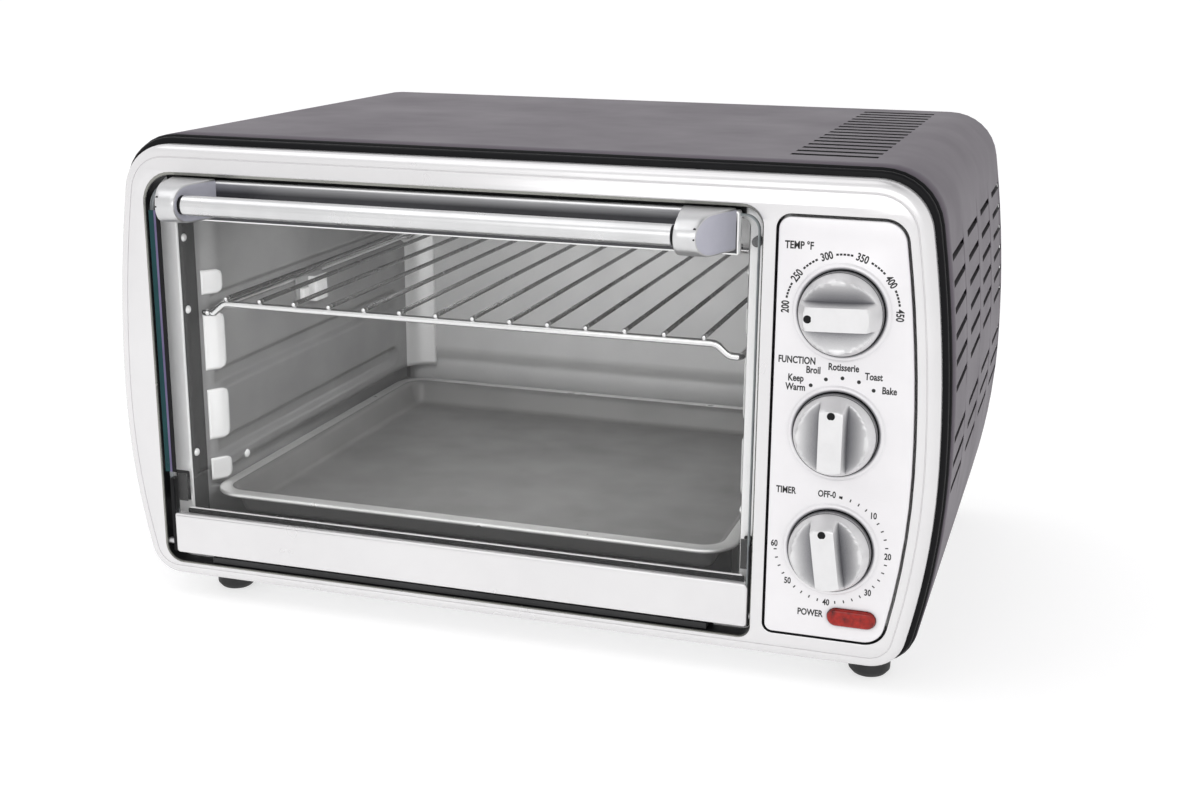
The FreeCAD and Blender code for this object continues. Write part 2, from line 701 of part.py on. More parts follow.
def handle_cap(sign):
    """An end block: flat above and below with a round nose, its outer face slanting in."""
    plan_half = [(HANDLE_HALF + 0.8, DOOR_FRONT), (HANDLE_HALF + 0.8, -18.0),
                 (HANDLE_HALF - 1.3, -31.0), (HANDLE_HALF - 1.3, -HANDLE_REACH),
                 (144.9, -HANDLE_REACH), (156.3, DOOR_FRONT)]
    plan = prism_xy([(HANDLE_X + sign * h, y) for h, y in plan_half], 215.0, 250.0)
    rise = 10.4
    nose = arc_points(rise - HANDLE_REACH, HANDLE_Z, rise, 90.0, 270.0, 12)
    side = prism_yz([(DOOR_FRONT, HANDLE_Z + rise)] + nose + [(DOOR_FRONT, HANDLE_Z - rise)], -250, 250)
    block = plan.common(side)
    socket = handle_bar()
    return block.cut(socket)


def handle_screws():
    pieces = []
    for sign in (-1, 1):
        x = HANDLE_X + sign * 146.0
        for z in (228.0, 239.0):
            pieces.append(screw_from_back(x, z))
    return group(pieces)


def screw_from_back(x, z):
    return rod_y(SCREW_HEAD_R, x, DOOR_BACK, DOOR_BACK + 0.8, z)


# --- dials -------------------------------------------------------------------------------
def knob(name):
    z = DIAL_Z[name]
    skirt = rod_y(KNOB_R, DIAL_X, -9.0, -2.4, z)
    crown = Part.makeCone(KNOB_R, KNOB_R - 5.0, 3.0, V(DIAL_X, -9.0, z), V(0, -1, 0))
    grip = box(DIAL_X - 6.2, DIAL_X + 6.2, -19.0, -9.0, z - 15.0, z + KNOB_R)
    grip = grip.common(rod_y(KNOB_R - 0.8, DIAL_X, -20, -5, z))
    front = [e for e in grip.Edges if on_plane(e, -19.0)]
    grip = grip.makeFillet(2.0, front)
    body = joined([skirt, crown, grip])
    body = body.cut(rod_y(SHAFT_R, DIAL_X, -12.0, 0, z))
    body.rotate(V(DIAL_X, 0, z), V(0, 1, 0), DIAL_REST[name])
    return body


def knob_shaft(name):
    return rod_y(SHAFT_R, DIAL_X, -12.0, FRAME_BACK + 8.0, DIAL_Z[name])


# --- loose parts -------------------------------------------------------------------------
def wire_rack():
    left = CAVITY_X - RACK_HALF
    right = CAVITY_X + RACK_HALF
    pieces = []
    for y in (RACK_FRONT, RACK_BACK):
        bar = [V(left, y, RACK_SIDE_Z), V(left + 4, y, RACK_SIDE_Z), V(left + 13, y, RACK_BAR_Z),
               V(right - 13, y, RACK_BAR_Z), V(right - 4, y, RACK_SIDE_Z), V(right, y, RACK_SIDE_Z)]
        pieces.append(bent_rod(bar, RACK_ROD_R))
    for x in (left, right):
        pieces.append(rod_y(RACK_ROD_R, x, RACK_FRONT, RACK_BACK, RACK_SIDE_Z))
        for y in (RACK_FRONT, RACK_BACK):
            pieces.append(Part.makeSphere(RACK_ROD_R, V(x, y, RACK_SIDE_Z)))
    wire_z = RACK_BAR_Z + RACK_ROD_R + RACK_WIRE_R - 0.4
    first = CAVITY_X - 2.5 - RACK_PITCH * (RACK_WIRES - 1) / 2.0
    for i in range(RACK_WIRES):
        pieces.append(rod_y(RACK_WIRE_R, first + i * RACK_PITCH, RACK_FRONT - 1.5, RACK_BACK + 1.5, wire_z))
    return joined(pieces)


def pan_prism(inset, z0, z1, slope):
    """A rounded tray volume whose walls lean in by slope from z1 down to z0."""
    wires = []
    for z, shrink in ((z0, inset + slope), (z1, inset)):
        x0 = CAVITY_X - PAN_HALF + shrink
        x1 = CAVITY_X + PAN_HALF - shrink
        y0 = PAN_FRONT + shrink
        y1 = PAN_BACK - shrink
        r = 18.0
        wires.append(rounded_wire(x0, x1, y0, y1, z, r))
    return Part.makeLoft(wires, True, True)


def rounded_wire(x0, x1, y0, y1, z, r):
    edges = []
    corners = [(x1 - r, y0 + r, -90), (x1 - r, y1 - r, 0), (x0 + r, y1 - r, 90), (x0 + r, y0 + r, 180)]
    ends = []
    for cx, cy, start in corners:
        angles = [math.radians(start + a) for a in (0, 45, 90)]
        arc = [V(cx + r * math.cos(a), cy + r * math.sin(a), z) for a in angles]
        edges.append(Part.Arc(*arc).toShape())
        ends.append((arc[0], arc[-1]))
    lines = [Part.makeLine(ends[i][1], ends[(i + 1) % 4][0]) for i in range(4)]
    ordered = []
    for arc, line in zip(edges, lines):
        ordered += [arc, line]
    return Part.Wire(ordered)


def bake_pan():
    rim = pan_prism(0.0, PAN_RIM_Z - 0.8, PAN_RIM_Z, 0.0)
    bottom = PAN_RIM_Z - PAN_DEPTH
    tub = pan_prism(9.0, bottom, PAN_RIM_Z, 6.0)
    hollow = pan_prism(9.8, bottom + 0.8, PAN_RIM_Z + 0.01, 6.0)
    bead = pan_prism(0.0, PAN_RIM_Z - 2.2, PAN_RIM_Z - 0.8, 0.0)
    bead = bead.cut(pan_prism(1.2, PAN_RIM_Z - 3.0, PAN_RIM_Z, 0.0))
    return joined([rim, tub, bead]).cut(hollow)


def crumb_tray():
    x0 = CAVITY_X - 146.0
    x1 = CAVITY_X + 146.0
    y0 = 3.0
    y1 = 296.0
    z0 = FLOOR_Z + 1.2
    z1 = z0 + 3.2
    tray = box(x0, x1, y0, y1, z0, z1)
    return tray.cut(box(x0 + SHEET, x1 - SHEET, y0 + SHEET, y1 - SHEET, z0 + SHEET, z1 + 1))


def tray_guides():
    """Two low rails on the cavity floor that the crumb tray slides on."""
    z0 = FLOOR_Z
    return group([box(CAVITY_X + s * 130 - 4, CAVITY_X + s * 130 + 4, 14.0, 296.0, z0, z0 + 0.85)
                  for s in (-1, 1)])


# --- assembly ----------------------------------------------------------------------------
NODES = {
    "outer_cover": outer_cover, "back_panel": back_panel, "base_plate": base_plate,
    "feet": feet, "foot_screws": foot_screws, "rear_spacers": rear_spacers,
    "cord_gland": cord_gland, "case_screws": case_screws,
    "front_bezel": front_bezel, "bezel_gasket": bezel_gasket, "front_frame": front_frame,
    "control_panel": control_panel, "indicator_lens": indicator_lens,
    "indicator_lamp": indicator_lamp,
    "cavity_side_left": lambda: cavity_side(-1), "cavity_side_right": lambda: cavity_side(1),
    "cavity_top": cavity_top, "cavity_floor": cavity_floor, "cavity_back": cavity_back,
    "upper_heaters": lambda: heater_pair(UPPER_HEATER_Z),
    "lower_heaters": lambda: heater_pair(LOWER_HEATER_Z),
    "heater_insulators": heater_insulators, "spit_bracket": spit_bracket,
    "jamb_strips": jamb_strips, "jamb_rivets": jamb_rivets, "door_bumpers": door_bumpers,
    "heat_shield": heat_shield, "thermostat": thermostat, "thermostat_bulb": thermostat_bulb,
    "function_switch": function_switch, "timer_mechanism": timer_mechanism,
    "timer_bell": timer_bell, "rotisserie_motor": rotisserie_motor, "spit_drive": spit_drive,
    "terminal_block": terminal_block, "internal_wiring": internal_wiring,
    "tray_guides": tray_guides,
    "door_glass": door_glass, "door_lower_panel": door_lower_panel, "hinge_pins": hinge_pins,
    "hinge_cheeks": hinge_cheeks, "link_arms": link_arms, "arm_pads": arm_pads,
    "door_top_rail": door_top_rail, "handle_bar": handle_bar,
    "handle_cap_left": lambda: handle_cap(-1), "handle_cap_right": lambda: handle_cap(1),
    "handle_screws": handle_screws,
    "wire_rack": wire_rack, "bake_pan": bake_pan, "crumb_tray": crumb_tray,
}
for dial in DIAL_Z:
    NODES[dial + "_knob"] = lambda dial=dial: knob(dial)
    NODES[dial + "_shaft"] = lambda dial=dial: knob_shaft(dial)


def place(shape):
    moved = shape.copy()
    moved.translate(V(0, -MID_Y, 0))
    return moved


for node_name, build_node in NODES.items():
    place(build_node()).exportStep("parts/" + node_name + ".step")
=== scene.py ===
import math
import bmesh
import bpy
from mathutils import Matrix, Vector
from mathutils.geometry import tessellate_polygon

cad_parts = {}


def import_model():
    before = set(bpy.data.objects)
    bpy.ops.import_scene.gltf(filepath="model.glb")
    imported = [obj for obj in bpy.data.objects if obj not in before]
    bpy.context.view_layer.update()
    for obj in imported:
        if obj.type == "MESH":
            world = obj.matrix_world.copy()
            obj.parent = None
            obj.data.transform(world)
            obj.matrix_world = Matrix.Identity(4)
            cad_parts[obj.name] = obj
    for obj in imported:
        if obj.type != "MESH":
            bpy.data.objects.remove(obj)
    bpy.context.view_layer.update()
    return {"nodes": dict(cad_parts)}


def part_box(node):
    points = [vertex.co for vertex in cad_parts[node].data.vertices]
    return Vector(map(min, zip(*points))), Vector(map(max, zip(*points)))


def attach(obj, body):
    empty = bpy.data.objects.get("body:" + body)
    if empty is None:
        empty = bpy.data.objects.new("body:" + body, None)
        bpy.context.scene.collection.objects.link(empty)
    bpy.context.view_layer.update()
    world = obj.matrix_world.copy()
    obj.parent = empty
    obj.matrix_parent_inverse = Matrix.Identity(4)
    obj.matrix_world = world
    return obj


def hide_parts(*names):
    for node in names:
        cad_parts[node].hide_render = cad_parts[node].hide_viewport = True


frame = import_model()

# Lengths below are millimetres in the drawing's frame: X right, Z up, and Y back from the
# front face of the bezel.  at() turns a drawing point into the frame's metres.
MM = 0.001
FACE_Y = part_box("front_bezel")[0].y


def at(x, y, z):
    return Vector((x * MM, FACE_Y + y * MM, z * MM))


WAIST_Z = 121.0
UPPER_BULGE_R = 730.0
LOWER_BULGE_R = 385.0


# --- materials ---------------------------------------------------------------------------
def link(tree, a, b):
    tree.links.new(a, b)


def add(tree, kind, **inputs):
    node = tree.nodes.new(kind)
    for key, value in inputs.items():
        node.inputs[key.replace("_", " ")].default_value = value
    return node


def noise(tree, coords, scale, stretch=(1, 1, 1), detail=3.0):
    mapping = add(tree, "ShaderNodeMapping", Scale=[s * scale for s in stretch])
    link(tree, coords, mapping.inputs["Vector"])
    texture = add(tree, "ShaderNodeTexNoise", Scale=1.0, Detail=detail, Roughness=0.6)
    link(tree, mapping.outputs["Vector"], texture.inputs["Vector"])
    return texture.outputs["Fac"]


def scaled(tree, source, from_low, from_high, low=0.0, high=1.0):
    node = tree.nodes.new("ShaderNodeMapRange")
    for key, value in zip(("From Min", "From Max", "To Min", "To Max"),
                          (from_low, from_high, low, high)):
        node.inputs[key].default_value = value
    link(tree, source, node.inputs["Value"])
    return node.outputs["Result"]


def span(tree, source, low, high):
    return scaled(tree, source, 0.3, 0.7, low, high)


def rgba(colour):
    """A grey given as one number, or a colour given as three, as RGBA."""
    return (colour, colour, colour, 1.0) if isinstance(colour, float) else (*colour, 1.0)


def colour_mix(tree, share, low_colour):
    """A Mix node from low_colour towards whatever is linked to its second colour."""
    node = tree.nodes.new("ShaderNodeMix")
    node.data_type = "RGBA"
    node.inputs[6].default_value = rgba(low_colour)
    link(tree, share, node.inputs[0])
    return node


# Painted shade: an ambient-occlusion node darkens the colour in tight hollows.
def darkened_hollows(tree, source, reach, colour):
    near = add(tree, "ShaderNodeAmbientOcclusion", Distance=reach * MM)
    near.samples = 8
    mix = colour_mix(tree, scaled(tree, near.outputs["AO"], 0.45, 0.95), colour)
    link(tree, source, mix.inputs[7])
    return mix.outputs[2]


# Painted shade: the colour fades to a darker one towards the bottom, below high z.
def faded(tree, source, coords, low, high, colour):
    split = tree.nodes.new("ShaderNodeSeparateXYZ")
    link(tree, coords, split.inputs[0])
    mix = colour_mix(tree, scaled(tree, split.outputs["Z"], low * MM, high * MM), colour)
    link(tree, source, mix.inputs[7])
    return mix.outputs[2]


def material(name, colour, colour_b=None, metallic=0.0, rough=(0.3, 0.4), patch=60.0,
             grain=900.0, stretch=(1, 1, 1), bump=0.1, height=0.02, hollow_shade=None,
             low_shade=None, **sockets):
    """A Principled finish: patchy roughness and tint, and a fine grain as bump.

    The hollow shade argument is (reach in mm, colour): painted shade, the colour the finish darkens
    to in tight hollows that an ambient-occlusion node finds.
    The low shade argument is (low z, high z, colour): painted shade, the colour it fades to at the
    lower height, in mm.
    """
    mat = bpy.data.materials.new(name)
    mat.use_nodes = True
    tree = mat.node_tree
    shader = tree.nodes["Principled BSDF"]
    coords = tree.nodes.new("ShaderNodeTexCoord").outputs["Object"]
    fine = noise(tree, coords, grain, stretch)
    broad = noise(tree, coords, patch)
    link(tree, span(tree, broad, *rough), shader.inputs["Roughness"])
    both = tree.nodes.new("ShaderNodeMath")
    both.operation = "MULTIPLY"
    link(tree, span(tree, broad, 0.0, 1.0), both.inputs[0])
    link(tree, span(tree, fine, 0.4, 1.0), both.inputs[1])
    mix = colour_mix(tree, both.outputs[0], colour)
    mix.inputs[7].default_value = rgba(colour_b or [c * 0.88 for c in rgba(colour)[:3]])
    painted = mix.outputs[2]
    if hollow_shade:
        painted = darkened_hollows(tree, painted, *hollow_shade)
    if low_shade:
        painted = faded(tree, painted, coords, *low_shade)
    link(tree, painted, shader.inputs["Base Color"])
    relief = add(tree, "ShaderNodeBump", Strength=bump, Distance=height * MM)
    link(tree, fine, relief.inputs["Height"])
    link(tree, relief.outputs["Normal"], shader.inputs["Normal"])
    shader.inputs["Metallic"].default_value = metallic
    for key, value in sockets.items():
        shader.inputs[key.replace("_", " ")].default_value = value
    return mat


ALONG_X = (0.012, 1, 1)
ALONG_Y = (1, 0.012, 1)
ALONG_Z = (1, 1, 0.012)

# Painted shade and reflection: a darker copy of the silver moulding for the inner part of the door
# opening's rolled lip.
LIP_SHADE = material("opening_lip_shade", (0.30, 0.30, 0.275), (0.22, 0.22, 0.205), metallic=0.7,
               rough=(0.2, 0.3), patch=40, grain=2400, height=0.01)
TEAL = material("glass_edge_teal", (0.006, 0.05, 0.055), (0.004, 0.03, 0.036), rough=(0.2, 0.3),
                patch=40, stretch=ALONG_Z, Specular_IOR_Level=0.2)
# Painted reflection: violet for the bezel's inner side wall mirrored at the pane's edge.
VIOLET_REFLECTION = material("bezel_reflection_violet", (0.16, 0.135, 0.24), (0.07, 0.06, 0.13), rough=(0.2, 0.3),
                  patch=40, stretch=ALONG_Z, Specular_IOR_Level=0.2)

PAINT = material("cover_paint", (0.117, 0.101, 0.121), (0.105, 0.091, 0.109), rough=(0.44, 0.54),
                 patch=14, grain=1500, bump=0.25, height=0.03, Specular_IOR_Level=0.22)
# Painted shade: the dark inside of the cover's side slots.
SLOT_SHADOW = material("slot_shadow", (0.035, 0.031, 0.036), rough=(0.5, 0.6), patch=30, grain=1500,
                     Specular_IOR_Level=0.1)
SILVER = material("silver_moulding", (0.735, 0.725, 0.732), (0.69, 0.68, 0.688), metallic=0.5,
                  rough=(0.20, 0.28), patch=25, grain=2600, bump=0.06, height=0.01)
# Painted shade: the panel darkens in the tight hollows round the knob rings.
PANEL = material("panel_silver", (0.80, 0.785, 0.80), (0.76, 0.745, 0.76), metallic=0.3,
                 rough=(0.34, 0.42), patch=40, grain=4200, bump=0.12, height=0.01,
                 hollow_shade=(2.5, (0.42, 0.42, 0.44)))
# Painted shade: the knob darkens in its scoops beside the grip and round its foot.
KNOB = material("knob_silver", (0.74, 0.735, 0.742), (0.68, 0.675, 0.68), metallic=0.55,
                rough=(0.34, 0.42), patch=90, grain=5200, bump=0.25, height=0.012,
                hollow_shade=(10.0, (0.15, 0.15, 0.165)))
BLACK = material("black_moulding", (0.008, 0.008, 0.009), rough=(0.35, 0.5), patch=120, grain=2400,
                 bump=0.15, height=0.01, Specular_IOR_Level=0.15)
GASKET = material("gasket_black", (0.005, 0.005, 0.006), patch=120, grain=1500,
                  Specular_IOR_Level=0.12)
# Painted shade: a dark steel for metal standing in shade at the door opening.
SHADOW_STEEL = material("shadow_steel", 0.055, rough=(0.4, 0.5), metallic=0.3,
                      Specular_IOR_Level=0.2)
RUBBER = material("rubber", (0.015, 0.015, 0.016), rough=(0.55, 0.7), patch=150, grain=1800,
                  bump=0.4)
GREY_RUBBER = material("bumper_rubber", (0.12, 0.12, 0.125), rough=(0.5, 0.65), patch=150,
                       grain=1800, bump=0.4)
PRINT = material("print_black", 0.01, rough=(0.45, 0.55), patch=400, grain=3000)
BRUSHED = material("brushed_trim", (0.70, 0.70, 0.705), (0.58, 0.58, 0.585), metallic=1.0,
                   rough=(0.24, 0.34), patch=30, grain=3200, stretch=ALONG_X, bump=0.35,
                   height=0.012)
# Painted reflection and shadow of the handle bar: the rail darkens low down, behind the bar.
RAIL = material("rail_steel", (0.66, 0.66, 0.67), (0.40, 0.40, 0.41), metallic=0.9,
                rough=(0.26, 0.38), patch=16, grain=2600, stretch=ALONG_X, bump=0.4, height=0.015,
                low_shade=(238.0, 244.6, (0.07, 0.07, 0.075)))
CAP_METAL = material("cap_brushed", (0.66, 0.66, 0.665), (0.55, 0.55, 0.56), metallic=0.9,
                     rough=(0.30, 0.38), patch=40, grain=3600, stretch=ALONG_Y, bump=0.3,
                     height=0.012)
CAP_SATIN = material("cap_satin", (0.53, 0.53, 0.60), (0.47, 0.47, 0.54), metallic=0.3,
                     rough=(0.42, 0.5), grain=5000, bump=0.35, height=0.015)
ZINC = material("zinc_steel", (0.60, 0.60, 0.61), (0.50, 0.50, 0.51), metallic=0.9,
                rough=(0.26, 0.4), patch=35, grain=2200, bump=0.15, height=0.01)
BRIGHT = material("bright_strip", 0.93, 0.87, metallic=0.2, rough=(0.16, 0.24), patch=30,
                  grain=2500, stretch=ALONG_Z, height=0.01)
CAVITY = material("cavity_steel", 0.38, 0.30, metallic=0.5, rough=(0.34, 0.5), patch=18,
                  grain=1500, bump=0.45, height=0.03)
# Painted light: a lighter copy of the cavity steel for the back sheet, which faces the door opening
# and gets the most light.
CAVITY_BACK_LIT = material("cavity_back_lit_steel", 0.80, 0.66, metallic=0.35, rough=(0.36, 0.5), patch=16,
                       grain=1500, bump=0.4, height=0.03)
# Painted highlight: a lighter copy of the cavity steel for the walls' rounded rear corners, which
# mirror the bright door opening.
CORNER_HIGHLIGHT = material("corner_highlight_steel", 0.95, 0.88, metallic=0.5, patch=18, grain=1500, bump=0.3)
# Painted highlight: a lighter copy of the pan's finish for its rolled rim.
PAN_RIM_HIGHLIGHT = material("pan_rim_highlight", (0.80, 0.80, 0.79), (0.66, 0.66, 0.65), metallic=0.6,
                   rough=(0.26, 0.36), patch=40, grain=1700, bump=0.3)
PAN = material("pan_coating", (0.238, 0.235, 0.233), (0.192, 0.19, 0.188), metallic=0.35,
               rough=(0.36, 0.52), patch=24, grain=1700, bump=0.5, height=0.03)
# Partly painted shade: the crumb tray's dark coating is made near black, for the shade of the gap
# under the door where it shows.
TRAY = material("tray_coating_and_shade", (0.030, 0.030, 0.031), (0.020, 0.020, 0.021), metallic=0.3,
                rough=(0.4, 0.55), patch=24, grain=1700, bump=0.5, height=0.03)
CHROME = material("chrome_wire", 0.82, 0.74, metallic=1.0, rough=(0.08, 0.16), patch=80,
                  grain=1200, bump=0.05, height=0.01)
# Painted shade and reflection: a darker copy of the chrome wire for the long wires, which mirror
# the dim inside of the oven.
RACK_WIRE_SHADE = material("rack_wire_shade", 0.30, 0.22, metallic=0.9, rough=(0.2, 0.3), patch=80, grain=1200,
                     bump=0.05, height=0.01)
SHEATH = material("heater_sheath", (0.16, 0.145, 0.135), (0.10, 0.09, 0.085), metallic=0.7,
                  rough=(0.4, 0.6), grain=1600, bump=0.4, height=0.03)
CERAMIC = material("ceramic", (0.78, 0.75, 0.68), rough=(0.5, 0.65), patch=90, grain=1500,
                   bump=0.3)
CREAM = material("control_plastic", (0.70, 0.66, 0.52), rough=(0.4, 0.5), patch=90, grain=1500)
COPPER = material("copper", (0.72, 0.40, 0.24), metallic=1.0, rough=(0.25, 0.4), patch=90)
MOTOR = material("motor_case", (0.28, 0.28, 0.29), metallic=0.5, rough=(0.4, 0.5))
WIRE = material("wire_sleeve", (0.66, 0.65, 0.60), rough=(0.6, 0.75), patch=200, grain=2600,
                bump=0.6, height=0.05)
LAMP_RED = material("lamp_red", (0.40, 0.012, 0.006), (0.055, 0.001, 0.001), rough=(0.10, 0.2),
                    patch=330, grain=420, stretch=(1, 1, 0.2), bump=0.7, height=0.25,
                    Specular_IOR_Level=0.4)
PANE = material("door_pane", 0.50, 0.45, rough=(0.03, 0.05), patch=20, grain=800, bump=0.01,
                height=0.002, Alpha=0.035, Specular_IOR_Level=0.4)
PANE_EDGE = material("pane_edge", (0.34, 0.37, 0.37), (0.24, 0.25, 0.28), rough=(0.08, 0.14),
                     patch=120, stretch=ALONG_Z, height=0.01)


# --- mesh tools --------------------------------------------------------------------------
class Shape:
    """Collects the faces of one piece, in drawing millimetres."""

    def __init__(self):
        self.points, self.faces, self.slots = [], [], []

    def ring(self, points):
        start = len(self.points)
        self.points += points
        return range(start, start + len(points))

    def face(self, indices, slot=0):
        self.faces.append(tuple(indices))
        self.slots.append(slot)

    def bridge(self, a, b, closed=True, slot=0):
        n = len(a)
        for i in range(n if closed else n - 1):
            j = (i + 1) % n
            self.face((a[i], a[j], b[j], b[i]), slot)

    def loft(self, rings, closed=True, around=False, slot=0):
        made = [self.ring(r) for r in rings]
        for a, b in zip(made, made[1:]):
            self.bridge(a, b, closed, slot)
        if around:
            self.bridge(made[-1], made[0], closed, slot)
        return made

    def fill(self, loops, slot=0):
        """Flat face bounded by the first loop, with the others as holes."""
        flat = [i for loop in loops for i in loop]
        outlines = [[Vector(self.points[i]) for i in loop] for loop in loops]
        for triangle in tessellate_polygon(outlines):
            self.face([flat[i] for i in triangle], slot)

    def close(self, rings, slot=0):
        """One face over each end of a loft."""
        self.face(rings[0], slot)
        self.face(rings[-1], slot)

    def cap(self, rings, slot=0):
        """The same for ends that aren't convex."""
        self.fill([rings[0]], slot)
        self.fill([rings[-1]], slot)

    def solid(self, path, profile, slot=0):
        """A block with the outline path, its edges following (growth, y) pairs."""
        self.cap(self.loft(edge_rings(path, profile), slot=slot), slot)

    def tube(self, path, r, sides=10, slot=0):
        """A round rod along a path, closed at both ends by small domes."""
        path = [Vector(p) for p in path]
        rings = []
        side = None
        for i, p in enumerate(path):
            ahead = (path[min(i + 1, len(path) - 1)] - path[max(i - 1, 0)]).normalized()
            if side is None:
                helper = Vector((0, 0, 1)) if abs(ahead.z) < 0.9 else Vector((1, 0, 0))
                side = ahead.cross(helper).normalized()
            side = (side - ahead * side.dot(ahead)).normalized()
            up = ahead.cross(side)
            spots = [(p, r)]
            if i == 0:
                spots = [(p + ahead * r * 0.1, r * 0.55), (p + ahead * r * 0.45, r)]
            if i == len(path) - 1:
                spots = [(p - ahead * r * 0.45, r), (p - ahead * r * 0.1, r * 0.55)]
            for centre, radius in spots:
                ring = []
                for k in range(sides):
                    a = 2 * math.pi * k / sides
                    ring.append(tuple(centre + (side * math.cos(a) + up * math.sin(a)) * radius))
                rings.append(ring)
        made = self.loft(rings, slot=slot)
        self.close(made, slot)

    def lathe(self, profile, x, z, sides=64, slot=0):
        """Revolve (radius, y) pairs about an axis along Y."""
        rings = [circle(x, z, r, sides, y) for r, y in profile]
        return self.loft(rings, slot=slot)

    def piece(self, name, body, materials, replaces=(), sharp=34.0):
        mesh = bpy.data.meshes.new(name)
        mesh.from_pydata([at(*p) for p in self.points], [], self.faces)
        for mat in materials:
            mesh.materials.append(mat)
        mesh.polygons.foreach_set("material_index", self.slots)
        work = bmesh.new()
        work.from_mesh(mesh)
        bmesh.ops.remove_doubles(work, verts=work.verts, dist=0.002 * MM)
        bmesh.ops.recalc_face_normals(work, faces=work.faces)
        work.to_mesh(mesh)
        work.free()
        mesh.shade_smooth()
        mesh.set_sharp_from_angle(angle=math.radians(sharp))
        obj = bpy.data.objects.new(name, mesh)
        bpy.context.scene.collection.objects.link(obj)
        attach(obj, body)
        if replaces:
            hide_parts(*replaces)
        return obj


def circle(x, z, r, sides, y):
    turns = [2 * math.pi * i / sides for i in range(sides)]
    return [(x + r * math.cos(a), y, z + r * math.sin(a)) for a in turns]


def bulge(half, z):
    radius = UPPER_BULGE_R if z > WAIST_Z else LOWER_BULGE_R
    return half - (z - WAIST_Z) ** 2 / (2 * radius)


def edge_x(edge, z):
    """x of a side at height z: a number for a straight side, (sign, half) for a barrel."""
    return edge[0] * bulge(edge[1], z) if isinstance(edge, tuple) else edge


def edge_lean(edge, z):
    slope = (edge_x(edge, z + 0.01) - edge_x(edge, z - 0.01)) / 0.02
    return Vector((slope, 1.0)).normalized()


def bend(a, b, ta, tb, r, steps):
    """Points of a rounded corner from a to b, whose travel directions are ta and tb."""
    turn = math.acos(max(-1.0, min(1.0, ta.dot(tb))))
    reach = 4 / 3 * math.tan(turn / 4) * r
    c1, c2 = a + ta * reach, b - tb * reach
    points = []
    for i in range(steps + 1):
        t = i / steps
        s = 1 - t
        points.append(a * s ** 3 + c1 * 3 * s * s * t + c2 * 3 * s * t * t + b * t ** 3)
    return points


def outline(left, right, z0, z1, radii, arc_steps=8, side_steps=12, levels=(), top_x=()):
    """Closed outline, anticlockwise from the bottom left corner; radii in that order too.

    levels are extra heights wanted on the right side, and top_x extra places on the top.
    """
    east, west = Vector((1.0, 0.0)), Vector((-1.0, 0.0))
    corners = []
    for edge, z, r, side_first in ((left, z0, radii[0], True), (right, z0, radii[1], False),
                                   (right, z1, radii[2], True), (left, z1, radii[3], False)):
        flat = east if z == z0 else west
        sign = 1 if edge is right else -1
        lean = edge_lean(edge, z) * sign
        turn = math.acos(max(-1.0, min(1.0, lean.dot(flat))))
        reach = r * math.tan(turn / 2)
        level = z + reach * abs(lean.y) * (1 if z == z0 else -1)
        on_side = Vector((edge_x(edge, level), level))
        corner_x = edge_x(edge, z)
        inward = -1 if edge is right else 1
        on_flat = Vector((corner_x + inward * reach, z))
        lean = edge_lean(edge, level) * sign
        if side_first:
            corners.append(bend(on_side, on_flat, lean, flat, r, arc_steps))
        else:
            corners.append(bend(on_flat, on_side, flat, lean, r, arc_steps))
    bl, br, tr, tl = corners
    points = bl + br
    low, high = br[-1].y, tr[0].y
    rises = sorted([low + (high - low) * i / side_steps for i in range(1, side_steps)]
                   if not levels else [v for v in levels if low < v < high])
    points += [Vector((edge_x(right, v), v)) for v in rises]
    points += tr
    points += [Vector((x, z1)) for x in sorted(top_x, reverse=True)]
    points += tl
    low, high = bl[0].y, tl[-1].y
    drops = [high + (low - high) * i / side_steps for i in range(1, side_steps)]
    points += [Vector((edge_x(left, v), v)) for v in drops]
    return points


def grown(points, d):
    """The closed outline moved outwards by d."""
    moved = []
    for i, p in enumerate(points):
        along = (points[(i + 1) % len(points)] - points[i - 1]).normalized()
        moved.append(p + Vector((along.y, -along.x)) * d)
    return moved


def on_y(points, y):
    return [(p.x, y, p.y) for p in points]


def edge_rings(points, profile):
    """Rings for a list of (growth, y) pairs."""
    return [on_y(grown(points, d), y) for d, y in profile]


def stadium(x, z, length, height, steps=8):
    r = height / 2
    points = []
    for cx, start in ((x + length / 2 - r, -90), (x - length / 2 + r, 90)):
        for i in range(steps + 1):
            a = math.radians(start + 180 * i / steps)
            points.append(Vector((cx + r * math.cos(a), z + r * math.sin(a))))
    return points


def smooth_path(points, r, steps=5):
    """An open path with each corner rounded to about radius r."""
    points = [Vector(p) for p in points]
    path = [points[0]]
    for a, b, c in zip(points, points[1:], points[2:]):
        u, v = (b - a).normalized(), (c - b).normalized()
        turn = u.angle(v)
        reach = min(r * math.tan(turn / 2), (b - a).length * 0.45, (c - b).length * 0.45)
        p, q = b - u * reach, b + v * reach
        path += [p.lerp(b, t).lerp(b.lerp(q, t), t) for t in [i / steps for i in range(steps + 1)]]
    path.append(points[-1])
    return [tuple(p) for p in path]


def square_path(x0, x1, z0, z1, r, arc_steps=3):
    return outline(x0, x1, z0, z1, (r, r, r, r), arc_steps=arc_steps, side_steps=2)


def circle_x(x, y, z, r, sides):
    """A circle about an axis along X."""
    return [(x, y + a, z + b) for a, _, b in circle(0.0, 0.0, r, sides, 0.0)]


def thicken(obj, thickness, offset=-1.0):
    sheet = obj.modifiers.new("sheet", "SOLIDIFY")
    sheet.thickness = thickness * MM
    sheet.offset = offset


def ease(t):
    t = max(0.0, min(1.0, t))
    return t * t * (3 - 2 * t)


def paint(node, mat):
    """Give a CAD node a finish."""
    obj = frame["nodes"][node]
    obj.data.materials.clear()
    obj.data.materials.append(mat)


